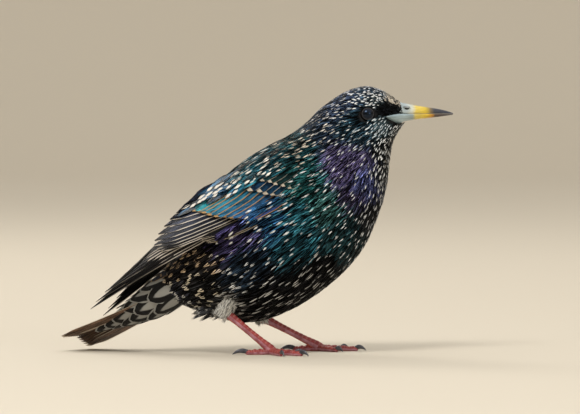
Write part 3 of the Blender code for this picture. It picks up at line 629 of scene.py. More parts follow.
class Maker:
    """Turns arrays of points into finished pieces in the row frame."""

    def __init__(self, plot: Plot) -> None:
        """Keeps the plot that places the pieces."""
        self.plot = plot

    def piece(self, obj: Object, material: Material, slot: Slot, replaces: Sequence[str] = ()) -> Object:
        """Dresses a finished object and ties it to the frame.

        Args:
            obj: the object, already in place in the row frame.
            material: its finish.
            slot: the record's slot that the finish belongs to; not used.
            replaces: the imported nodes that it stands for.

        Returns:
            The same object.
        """
        obj.data.materials.clear()
        obj.data.materials.append(material)
        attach(obj, BODY)
        if replaces:
            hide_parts(*replaces)
        log.info("%s: %d faces", obj.name, len(obj.data.polygons))
        return obj

    def mesh(self, name: str, points: Array, faces: Array, sharp: float = 40.0) -> Object:
        """A smooth-shaded mesh object from points in millimetres and faces of one corner count."""
        faces = np.asarray(faces)
        mesh = bpy.data.meshes.new(name)
        mesh.vertices.add(len(points))
        mesh.vertices.foreach_set("co", self.plot.to_row(points).ravel())
        mesh.loops.add(faces.size)
        mesh.loops.foreach_set("vertex_index", faces.ravel())
        mesh.polygons.add(len(faces))
        mesh.polygons.foreach_set("loop_start", np.arange(len(faces)) * faces.shape[1])
        mesh.update(calc_edges=True)
        mesh.shade_smooth()
        mesh.set_sharp_from_angle(angle=math.radians(sharp))
        obj = bpy.data.objects.new(name, mesh)
        bpy.context.scene.collection.objects.link(obj)
        return obj

    def tube(self, name: str, rings: Array) -> Object:
        """A closed tube through rings of points in millimetres."""
        rows, columns = rings.shape[:2]
        i, j = np.meshgrid(np.arange(rows - 1), np.arange(columns), indexing="ij")
        k = (j + 1) % columns
        corners = (i * columns + j, i * columns + k, (i + 1) * columns + k, (i + 1) * columns + j)
        obj = self.mesh(name, rings.reshape(-1, 3), np.stack(corners, -1).reshape(-1, 4), 180.0)
        bpy.ops.object.select_all(action="DESELECT")
        obj.select_set(True)
        bpy.context.view_layer.objects.active = obj
        bpy.ops.object.mode_set(mode="EDIT")
        bpy.ops.mesh.select_all(action="DESELECT")
        bpy.ops.mesh.select_non_manifold()
        bpy.ops.mesh.fill_holes(sides=0)
        bpy.ops.mesh.select_all(action="SELECT")
        bpy.ops.mesh.normals_make_consistent(inside=False)
        bpy.ops.object.mode_set(mode="OBJECT")
        return obj

    def feathers(
        self, name: str, flocks: Sequence[Flock], material: Material, slot: Slot,
        replaces: Sequence[str] = (),
    ) -> Object:
        """One joined mesh of all the feathers of some flocks, with their markings as attributes."""
        points, quads, first = [], [], 0
        for flock in flocks:
            count, each = flock.points.shape[:2]
            points.append(flock.points.reshape(-1, 3))
            starts = first + np.arange(count)[:, None, None] * each
            quads.append((flock.template.quads[None] + starts).reshape(-1, 4))
            first += count * each
        obj = self.mesh(name, np.concatenate(points), np.concatenate(quads))
        for key in ("sheen", "mark"):
            values = self.each_point(flocks, key)
            self.attribute(obj, key, np.concatenate((values, np.ones((len(values), 1))), 1))
        vane = np.concatenate([self.vane_places(f) for f in flocks])
        share = np.concatenate([np.tile(f.template.share, len(f.points)) for f in flocks])
        self.attribute(obj, "vane", vane)
        self.attribute(obj, "pattern", self.each_point(flocks, "pattern"))
        self.attribute(obj, "share", share[:, None])
        patch = self.each_point(flocks, "roots") + (vane[:, :2] * (0.5, 1) - (0, 0.5)) * PATCH
        corners = np.zeros(len(obj.data.loops), int)
        obj.data.loops.foreach_get("vertex_index", corners)
        layer = obj.data.uv_layers.new(name="OFBake")
        layer.data.foreach_set("uv", np.clip(patch[corners], 0, 1).ravel())
        return self.piece(obj, material, slot, replaces)

    @staticmethod
    def attribute(obj: Object, name: str, values: Array) -> None:
        """Gives a mesh's points single numbers, vectors or colours, by how many numbers each has."""
        kinds = {1: ("FLOAT", "value"), 3: ("FLOAT_VECTOR", "vector"), 4: ("FLOAT_COLOR", "color")}
        kind, key = kinds[values.shape[-1]]
        obj.data.attributes.new(name, kind, "POINT").data.foreach_set(key, values.ravel())

    @staticmethod
    def each_point(flocks: Sequence[Flock], key: str) -> Array:
        """A value of the feathers, repeated for each of their points."""
        return np.concatenate([np.repeat(getattr(f, key), f.points.shape[1], 0) for f in flocks])

    @staticmethod
    def vane_places(flock: Flock) -> Array:
        """Each vertex's place on its vane: u, v and the feather's seed."""
        count = len(flock.points)
        flat = np.tile(flock.template.points[None, :, :2], (count, 1, 1))
        seeds = np.repeat(flock.seeds[:, None, None], flat.shape[1], 1)
        return np.concatenate((flat, seeds), 2).reshape(-1, 3)


# Finishes


def math_method(operation: str, swapped: bool = False) -> Callable[..., "Wire"]:
    """A method of a wire that adds a Math node.

    Args:
        operation: the node's operation.
        swapped: whether the wire comes second in it.

    Returns:
        The method.
    """

    def method(self: "Wire", other: object = 0.0) -> "Wire":
        """Adds the node to the wire's sheet."""
        return self.sheet.math(operation, *((other, self) if swapped else (self, other)))

    return method


class Wire:
    """A socket of a node tree that can be worked with as a number."""

    def __init__(self, sheet: "Sheet", socket: bpy.types.NodeSocket) -> None:
        """Keeps the socket and its sheet."""
        self.sheet = sheet
        self.socket = socket

    __add__ = math_method("ADD")
    __sub__ = math_method("SUBTRACT")
    __rsub__ = math_method("SUBTRACT", swapped=True)
    __mul__ = math_method("MULTIPLY")
    __truediv__ = math_method("DIVIDE")
    __pow__ = math_method("POWER")
    __abs__ = math_method("ABSOLUTE")
    or_more = math_method("MAXIMUM")

    def __neg__(self) -> "Wire":
        """The opposite."""
        return self * -1.0

    def step(self, low: object, high: object) -> "Wire":
        """0 below low, 1 above high, and an even curve between."""
        inputs = {"Value": self, "From Min": low, "From Max": high}
        return self.sheet.add("ShaderNodeMapRange", inputs, interpolation_type="SMOOTHSTEP")

    def blend(self, a: float, b: float) -> "Wire":
        """The number between a and b that this share gives."""
        return self.sheet.add("ShaderNodeMapRange", {"Value": self, "To Min": a, "To Max": b})


class Sheet:
    """A material's node tree, with short ways to add and link its nodes."""

    def __init__(self, name: str) -> None:
        """Makes the material with its Principled shader."""
        self.material = bpy.data.materials.new(name)
        self.material.use_nodes = True
        self.tree = self.material.node_tree
        self.shader = self.tree.nodes["Principled BSDF"]

    def put(self, socket: bpy.types.NodeSocket, value: object) -> None:
        """Links a socket to a wire, or sets its value."""
        if isinstance(value, Wire):
            self.tree.links.new(value.socket, socket)
        elif isinstance(value, tuple) and socket.type == "RGBA":
            socket.default_value = (*value, 1.0)
        else:
            socket.default_value = value

    def node(self, kind: str, inputs: dict, **settings: object) -> bpy.types.Node:
        """Adds a node with its inputs, by name or number, and its settings."""
        node = self.tree.nodes.new(kind)
        for key, value in settings.items():
            setattr(node, key, value)
        for key, value in inputs.items():
            self.put(node.inputs[key], value)
        return node

    def add(self, kind: str, inputs: dict, output: object = 0, **settings: object) -> Wire:
        """Adds a node and gives one of its outputs."""
        return Wire(self, self.node(kind, inputs, **settings).outputs[output])

    def math(self, operation: str, a: object, b: object = 0.0) -> Wire:
        """A Math node's result."""
        return self.add("ShaderNodeMath", {0: a, 1: b}, operation=operation)

    def mix(self, share: object, a: object, b: object, blend: str = "MIX") -> Wire:
        """Two colours mixed."""
        return self.add("ShaderNodeMix", {0: share, 6: a, 7: b}, 2, data_type="RGBA", blend_type=blend)

    def shade(self, colour: object, strength: Wire) -> Wire:
        """A colour made lighter or darker."""
        return self.mix(1.0, colour, self.join(strength, strength, strength), "MULTIPLY")

    def attribute(self, name: str, output: str = "Vector") -> Wire:
        """An attribute of the mesh."""
        return self.add("ShaderNodeAttribute", {}, output, attribute_name=name)

    def place(self) -> Wire:
        """The place on the object."""
        return self.add("ShaderNodeTexCoord", {}, "Object")

    def split(self, vector: object) -> tuple[Wire, ...]:
        """A vector's three numbers."""
        return tuple(Wire(self, s) for s in self.node("ShaderNodeSeparateXYZ", {0: vector}).outputs)

    def join(self, x: object, y: object, z: object) -> Wire:
        """Three numbers as a vector."""
        return self.add("ShaderNodeCombineXYZ", {0: x, 1: y, 2: z})

    def noise(self, vector: object, scale: float, detail: float = 2.0) -> Wire:
        """A noise pattern's strength."""
        return self.add("ShaderNodeTexNoise", {"Vector": vector, "Scale": scale, "Detail": detail})

    def ramp(self, value: object, stops: Sequence[tuple[float, Colour]]) -> Wire:
        """A colour read from stops by a value."""
        node = self.node("ShaderNodeValToRGB", {0: value})
        while len(node.color_ramp.elements) < len(stops):
            node.color_ramp.elements.new(1.0)
        for element, (at, colour) in zip(node.color_ramp.elements, stops):
            element.position = at
            element.color = (*colour, 1.0)
        return Wire(self, node.outputs[0])

    def finish(
        self, colour: object, roughness: object, height: Wire | None = None, depth: float = 0.0001,
        **values: object,
    ) -> Material:
        """Sets the shader and returns the material.

        Args:
            colour: the base colour.
            roughness: the roughness.
            height: the pattern that the surface's bumps follow, if any.
            depth: how deep the bumps are, in metres.
            values: other sockets of the shader by name, with _ for a space.

        Returns:
            The finished material.
        """
        self.put(self.shader.inputs["Base Color"], colour)
        self.put(self.shader.inputs["Roughness"], roughness)
        for key, value in values.items():
            self.put(self.shader.inputs[key.replace("_", " ")], value)
        if height is not None:
            bump = self.add("ShaderNodeBump", {"Height": height, "Distance": depth, "Strength": 1.0})
            self.put(self.shader.inputs["Normal"], bump)
        return self.material


@dataclass(frozen=True)
class BodyFeatherFinish:
    """Glossy barbs in each feather's own sheen with painted highlights, painted shade between them, and a
    pale mark at the tip.
    """

    name: str = "body_feathers"
    # How dark the painted shade between the barbs is, and how bright their painted highlights are.
    dark: float = 0.06
    barb_highlight: float = 2.2
    gloss: float = 0.34
    mark_roughness: float = 0.7
    metal: float = 0.92

    def make(self) -> Material:
        """Makes the material."""
        sheet = Sheet(self.name)
        u, v, seed = sheet.split(sheet.attribute("vane"))
        start, width, hollow = sheet.split(sheet.attribute("pattern"))
        across = abs(u)
        lines = sheet.join(u * 1.7 + seed * 57.0, v * 0.4, seed * 57.0)
        streaks = sheet.noise(lines, 1.5, 3.0).step(0.42, 0.62)
        barbs = sheet.noise(sheet.join(u * 9.0, v * 2.0, seed * 57.0), 2.4)
        # Painted gloss: the streaks give bright barbs as painted highlights and dark gaps as painted shade.
        shaded = sheet.shade(sheet.attribute("sheen", "Color"), streaks.blend(self.dark, self.barb_highlight))
        shaded = sheet.shade(shaded, v.step(0.0, 0.75).blend(0.25, 1.0))
        run = (v - start) / (1.001 - start)
        drop = run.or_more(0.0) * (1.15 - run).or_more(0.0) ** 0.5 * 2.2
        edge = drop * width + (barbs - 0.5) * 0.22 * width
        near_tip = run.step(0.0, 0.08)
        inside = 1.0 - across.step(edge, edge + 0.10)
        wedge = hollow * (1.0 - run) * width
        open_middle = across.step(wedge - 0.06, wedge + 0.04)
        mark = near_tip * inside * open_middle
        colour = sheet.mix(mark, shaded, sheet.attribute("mark", "Color"))
        return sheet.finish(
            colour,
            mark.blend(self.gloss, self.mark_roughness),
            barbs + streaks * 0.8,
            0.00014,
            Metallic=mark.blend(self.metal, 0.0),
        )


@dataclass(frozen=True)
class FlightFeatherFinish:
    """Silky vanes with a pale edge, a shaft and slanting barbs.

    The pattern's numbers are where the pale tip starts, how wide the pale lower edge is, and how
    strong the pale upper edge is. Where there is a band, the vane is dark only that far in from
    its sides, and pale inside it as far as middle_end along the vane, with a round end that
    begins at middle_start.
    """

    name: str = "flight_feathers"
    gloss: float = 0.42
    metal: float = 0.45
    band: float = 0.0
    middle_end: float = 0.8
    # How dark a vane's upper side is painted, as the shadow of the feather that lies over it.
    overlap_shadow: float = 0.6
    middle_start: float = 0.3

    def make(self) -> Material:
        """Makes the material."""
        sheet = Sheet(self.name)
        u, v, seed = sheet.split(sheet.attribute("vane"))
        start, width, upper_edge = sheet.split(sheet.attribute("pattern"))
        across = abs(u)
        slant = sheet.join(v * 46.0 - across * 5.0, seed * 31.0, 0.0)
        wave = sheet.add("ShaderNodeTexWave", {0: slant, "Scale": 1.2, "Distortion": 1.2}, 1)
        mottle = sheet.noise(sheet.join(u * 2.2, v * 5.0, seed * 57.0), 1.4, 4.0)
        shaft = 1.0 - across.step(0.03, 0.10)
        shade = wave.blend(0.75, 1.1) * mottle.step(0.3, 0.7).blend(0.35, 1.5) * shaft.blend(1.0, 0.4)
        # Painted shadow: each vane's upper side is darkened where the feather above overlaps it.
        shade = shade * (-u).step(-0.4, 0.4).blend(1.0, self.overlap_shadow)
        vane = sheet.shade(sheet.attribute("sheen", "Color"), shade)
        # From -1 at the upper side to 1 at the lower, however narrow the vane is there.
        share = sheet.attribute("share", "Fac")
        aside = u / share.or_more(0.05)
        jitter = (mottle - 0.5) * 0.14
        # The rim is as wide in millimetres near the tip as along the vane.
        rim = 1.0 - width / share.or_more(0.34) - jitter
        lower_rim = aside.step(rim - 0.05, rim + 0.05)
        upper_rim = (-aside).step(rim - 0.05, rim + 0.05) * upper_edge
        tip_rim = (v + jitter * 0.2).step(start - 0.012, start + 0.012)
        pale = lower_rim.or_more(upper_rim).or_more(tip_rim)
        if self.band:
            sideways = abs(aside) / (1.0 - self.band)
            lengthways = (v - self.middle_start).or_more(0.0) / (self.middle_end - self.middle_start)
            round_middle = sideways**2.0 + lengthways**2.0 + jitter * 3.0
            pale = pale.or_more(1.0 - round_middle.step(0.8, 1.2))
        colour = sheet.mix(pale, vane, sheet.attribute("mark", "Color"))
        return sheet.finish(
            colour,
            pale.blend(self.gloss, 0.65),
            wave + mottle,
            0.00008,
            Metallic=pale.blend(self.metal, 0.0),
            Specular_IOR_Level=0.3,
        )


@dataclass(frozen=True)
class SkinFinish:
    """The dark feather bases that lie under the coat, near-black also as painted shade in the gaps between
    feathers.
    """

    def make(self) -> Material:
        """Makes the material."""
        sheet = Sheet("feather_bases_and_gap_shade")
        down = sheet.noise(sheet.place(), 900.0, 4.0)
        colour = sheet.mix(down, (0.005, 0.005, 0.006), (0.018, 0.019, 0.022))
        return sheet.finish(colour, 0.85, down, 0.0003)


@dataclass(frozen=True)
class BillFinish:
    """Satin horn: blue-grey at the base, yellow in the middle and slate at the tip."""

    name: str
    base_x: float
    # The horn's colours by share of the way from the base to the tip.
    stops: tuple
    length: float = 0.0305

    def make(self) -> Material:
        """Makes the material."""
        sheet = Sheet(self.name)
        x, _, z = sheet.split(sheet.place())
        blotch = sheet.noise(sheet.place(), 260.0, 3.0)
        reach = (x - self.base_x) / self.length + (blotch - 0.5) * 0.07
        grain = sheet.noise(sheet.join(x * 250.0, 0.0, z * 2500.0), 1.0, 3.0)
        colour = sheet.shade(sheet.ramp(reach, self.stops), grain.step(0.25, 0.75).blend(0.8, 1.12))
        return sheet.finish(colour, 0.3, grain, 0.00004, Coat_Weight=0.1, Coat_Roughness=0.2)


HORN_UPPER = (
    (0.0, (0.20, 0.25, 0.28)),
    (0.26, (0.40, 0.47, 0.48)),
    (0.35, (0.60, 0.62, 0.52)),
    (0.41, (0.72, 0.55, 0.10)),
    (0.57, (0.66, 0.47, 0.03)),
    (0.64, (0.20, 0.14, 0.06)),
    (0.70, (0.030, 0.032, 0.045)),
    (1.0, (0.020, 0.024, 0.045)),
)
HORN_LOWER = (
    (0.0, (0.25, 0.34, 0.38)),
    (0.22, (0.36, 0.46, 0.50)),
    (0.36, (0.30, 0.38, 0.40)),
    (0.41, (0.66, 0.52, 0.12)),
    (0.58, (0.72, 0.50, 0.03)),
    (0.66, (0.60, 0.28, 0.02)),
    (0.72, (0.08, 0.05, 0.04)),
    (1.0, (0.020, 0.022, 0.035)),
)


@dataclass(frozen=True)
class EyeFinish:
    """A wet, nearly black brown eye with a black pupil."""

    centre: Vector
    outward: Vector
    radius: float = 0.0035

    def make(self) -> Material:
        """Makes the material."""
        sheet = Sheet("eye_brown")
        inputs = {0: sheet.place(), 1: tuple(self.centre)}
        away = sheet.add("ShaderNodeVectorMath", inputs, operation="SUBTRACT")
        inputs = {0: away, 1: tuple(self.outward)}
        facing = sheet.add("ShaderNodeVectorMath", inputs, "Value", operation="DOT_PRODUCT")
        iris = sheet.mix(sheet.noise(away, 1600.0), (0.003, 0.002, 0.002), (0.008, 0.005, 0.004))
        pupil = (facing / self.radius).step(0.83, 0.86)
        colour = sheet.mix(pupil, iris, (0.001, 0.001, 0.001))
        return sheet.finish(colour, 0.04, None, Specular_IOR_Level=0.45, Specular_Tint=(0.40, 0.60, 1.0))


@dataclass(frozen=True)
class PlainFinish:
    """A surface of one colour with a fine grain, a little lighter and darker in places."""

    name: str
    dark: Colour
    light: Colour
    roughness: float
    grain: float
    depth: float = 0.00005
    coat: float = 0.0

    def make(self) -> Material:
        """Makes the material."""
        sheet = Sheet(self.name)
        grain = sheet.noise(sheet.place(), self.grain, 4.0)
        colour = sheet.mix(grain.step(0.3, 0.7), self.dark, self.light)
        return sheet.finish(colour, self.roughness, grain, self.depth, Coat_Weight=self.coat)


@dataclass(frozen=True)
class LegFinish:
    """Pink skin between a deep red front with scutes and an orange-red back."""

    def make(self) -> Material:
        """Makes the material."""
        sheet = Sheet("leg_skin")
        front, back, edge = sheet.split(sheet.attribute("scute"))
        blotch = sheet.noise(sheet.place(), 420.0, 4.0)
        pores = sheet.noise(sheet.place(), 2600.0)
        spread = blotch.step(0.3, 0.7)
        pink = sheet.mix(spread, (0.30, 0.085, 0.11), (0.50, 0.24, 0.30))
        red = sheet.mix(spread, (0.20, 0.010, 0.014), (0.34, 0.034, 0.030))
        orange = sheet.mix(spread, (0.42, 0.045, 0.014), (0.55, 0.10, 0.03))
        body = sheet.mix(back, sheet.mix(front.step(0.04, 0.45), pink, red), orange)
        colour = sheet.mix(edge * pores.blend(0.0, 0.6), body, (0.66, 0.40, 0.32))
        return sheet.finish(
            colour, 0.42, pores * 0.5 + blotch, 0.00012, Subsurface_Weight=0.1, Subsurface_Scale=0.001
        )


# Plumage


@dataclass(frozen=True)
class Zone:
    """A patch of the plumage in the side view, and how its feathers look there.

    The mark is the pale tip of a feather: its colour, length and half width in millimetres, the
    share of the feathers that have one, and how hollow its middle is, from 0 for a full drop to 1
    for a V.
    """

    name: str
    x: float
    z: float
    reach: float
    sheen: Colour
    mark: Colour
    mark_length: float
    mark_width: float
    marked: float
    hollow: float = 0.0


WHITE = (0.80, 0.82, 0.83)
OFF_WHITE = (0.62, 0.62, 0.60)
BUFF_WHITE = (0.70, 0.62, 0.50)
BUFF = (0.46, 0.29, 0.14)
BLACK = (0.006, 0.007, 0.009)
ZONES = (
    Zone("forehead", 65.0, 122.5, 4.0, (0.06, 0.06, 0.06), (0.70, 0.63, 0.52), 1.6, 0.25, 0.7),
    Zone("crown", 52.0, 127.0, 6.0, (0.045, 0.080, 0.125), (0.88, 0.91, 0.94), 1.7, 0.26, 0.38),
    Zone("nape", 36.0, 119.0, 7.0, (0.045, 0.070, 0.130), (0.90, 0.92, 0.94), 2.3, 0.37, 0.40),
    Zone("lores", 63.5, 116.8, 3.6, BLACK, BLACK, 0.6, 0.08, -0.6),
    Zone("before the eye", 59.0, 117.0, 3.2, BLACK, BLACK, 0.6, 0.08, -0.6),
    Zone("above the eye", 54.5, 122.3, 3.6, (0.04, 0.06, 0.07), (0.84, 0.88, 0.90), 1.7, 0.30, 0.5),
    Zone("cheek", 44.0, 108.0, 7.5, (0.020, 0.050, 0.074), (0.82, 0.89, 0.93), 2.1, 0.28, 0.34),
    Zone("gape", 58.5, 107.5, 4.5, (0.05, 0.080, 0.095), (0.60, 0.68, 0.74), 2.0, 0.20, 0.40),
    Zone("chin", 67.0, 106.5, 4.0, (0.012, 0.014, 0.016), (0.70, 0.73, 0.75), 1.9, 0.20, 0.38),
    Zone("throat", 61.0, 97.0, 5.5, (0.006, 0.008, 0.010), (0.84, 0.86, 0.87), 2.3, 0.22, 0.36),
    Zone("hind neck", 26.0, 109.0, 7.0, (0.026, 0.044, 0.075), (0.84, 0.80, 0.73), 2.6, 0.44, 0.44),
    Zone("neck side", 39.0, 88.0, 8.0, (0.125, 0.105, 0.240), WHITE, 2.4, 0.28, 0.26),
    Zone("neck blue", 47.0, 80.0, 6.0, (0.090, 0.105, 0.260), WHITE, 2.4, 0.28, 0.26),
    Zone("low neck", 42.0, 74.0, 5.0, (0.060, 0.048, 0.105), WHITE, 2.3, 0.25, 0.28),
    Zone("foreneck", 61.0, 84.0, 5.0, (0.007, 0.009, 0.012), WHITE, 2.3, 0.24, 0.48),
    Zone("upper mantle", 15.0, 98.0, 7.0, (0.014, 0.060, 0.072), BUFF_WHITE, 2.8, 0.50, 0.52),
    Zone("shoulder", 21.0, 82.0, 7.0, (0.020, 0.112, 0.115), WHITE, 3.0, 0.40, 0.34),
    Zone("breast side", 31.0, 68.0, 7.0, (0.034, 0.100, 0.096), WHITE, 2.8, 0.34, 0.34),
    Zone("breast low side", 36.0, 55.0, 7.0, (0.010, 0.032, 0.038), WHITE, 2.5, 0.27, 0.32),
    Zone("breast", 54.0, 62.0, 6.0, (0.005, 0.006, 0.008), WHITE, 2.2, 0.21, 0.46),
    Zone("flank teal", 16.0, 64.0, 6.0, (0.026, 0.130, 0.170), WHITE, 3.1, 0.46, 0.34),
    Zone("flank low", 18.0, 50.0, 7.0, (0.014, 0.066, 0.090), WHITE, 3.1, 0.42, 0.34, 0.3),
    Zone("flank blue", 2.0, 64.0, 6.0, (0.030, 0.120, 0.270), WHITE, 3.1, 0.52, 0.36),
    Zone("rear flank", -15.0, 54.0, 6.0, (0.090, 0.075, 0.210), WHITE, 3.1, 0.62, 0.38),
    Zone("rear flank low", -10.0, 40.0, 6.0, (0.012, 0.022, 0.038), WHITE, 3.4, 0.66, 0.40, 0.5),
    Zone("belly", 24.0, 36.0, 8.0, (0.005, 0.005, 0.006), OFF_WHITE, 4.4, 0.19, 0.45),
    Zone("low belly", 2.0, 24.0, 7.0, (0.005, 0.005, 0.006), (0.60, 0.60, 0.58), 5.4, 0.20, 0.5),
    Zone("by the leg", -16.0, 21.0, 5.0, (0.04, 0.04, 0.04), (0.64, 0.63, 0.60), 5.0, 0.50, 0.5, 0.3),
    Zone("vent side", -33.0, 45.0, 6.5, (0.014, 0.012, 0.012), (0.66, 0.48, 0.30), 4.0, 2.0, 0.66, 0.25),
    Zone("vent low", -31.0, 31.0, 6.0, (0.012, 0.012, 0.013), (0.66, 0.58, 0.44), 4.0, 1.9, 0.62, 0.25),
    Zone("vent", -38.0, 24.0, 5.0, (0.016, 0.017, 0.024), (0.60, 0.60, 0.58), 3.6, 2.0, 0.6, 0.3),
    Zone("mantle", -6.0, 91.0, 8.0, (0.010, 0.060, 0.080), (0.84, 0.80, 0.72), 3.8, 0.52, 0.54),
    Zone("lower back", -26.0, 73.0, 7.0, (0.010, 0.046, 0.090), (0.76, 0.72, 0.65), 4.0, 0.54, 0.60),
    Zone("rump", -42.0, 52.0, 5.0, (0.014, 0.020, 0.038), BUFF, 2.8, 1.4, 0.5, 0.2),
)


def zone_values(x: Array, z: Array) -> dict[str, Array]:
    """The looks at side-view places, each zone's values blended by how close it lies."""
    places = np.array([(k.x, k.z) for k in ZONES])
    weights = near_weights(x, z, places, np.array([k.reach for k in ZONES]), 4.0)
    names = ("sheen", "mark", "mark_length", "mark_width", "marked", "hollow")
    return {name: weights @ np.array([getattr(k, name) for k in ZONES], float) for name in names}


@dataclass(frozen=True)
class Lie:
    """Which way the feathers lie in the side view: x, z and degrees below straight back."""

    rows: tuple = (
        (65.4, 121.4, -32), (51.0, 127.2, 3), (36.6, 122.4, 30), (55.8, 121.4, -5), (43.8, 115.7, 14),
        (39.0, 108.0, 28), (51.0, 107.0, 32), (63.0, 107.0, 42), (25.6, 110.9, 38), (59.6, 97.4, 62),
        (60.6, 86.9, 76), (43.8, 95.0, 45), (41.4, 83.0, 52), (29.4, 85.4, 36), (19.8, 97.4, 32),
        (17.4, 73.4, 28), (27.0, 71.0, 35), (43.8, 66.2, 54), (54.4, 66.2, 64), (34.2, 51.8, 48),
        (43.8, 44.6, 48), (19.8, 54.2, 38), (0.6, 54.2, 38), (-18.6, 47.0, 40), (19.8, 32.6, 32),
        (29.4, 32.6, 38), (0.6, 20.6, 18), (-28.2, 32.6, 34), (-37.8, 25.4, 24), (5.4, 92.6, 33),
        (-9.0, 83.0, 36), (-23.4, 73.4, 42), (-42.6, 56.6, 42),
    )
    # How squarely a place has to face the side for the side view to give its direction.
    facing: tuple = (0.2, 0.6)

    def way(self, points: Array, normal: Array, back: Array) -> Array:
        """The directions of the feathers at points of the surface.

        Args:
            points: the places of the roots.
            normal: outward directions there.
            back: directions along the body there.

        Returns:
            Directions along the surface, at length 1.
        """
        table = np.array(self.rows, float)
        weights = near_weights(points[:, 0], points[:, 2], table[:, :2], np.full(len(table), 8.0))
        angles = np.radians(table[:, 2])
        dx, dz = (weights @ np.stack((-np.cos(angles), -np.sin(angles)), -1)).T
        out = normal[:, 1]
        held = np.where(out < 0, -1, 1) * np.maximum(np.abs(out), 0.25)
        wanted = unit(np.stack((dx, -(dx * normal[:, 0] + dz * normal[:, 2]) / held, dz), -1))
        share = smooth_step(*self.facing, np.abs(out))[:, None]
        way = back * (1 - share) + wanted * share
        return unit(way - normal * dot(way, normal))


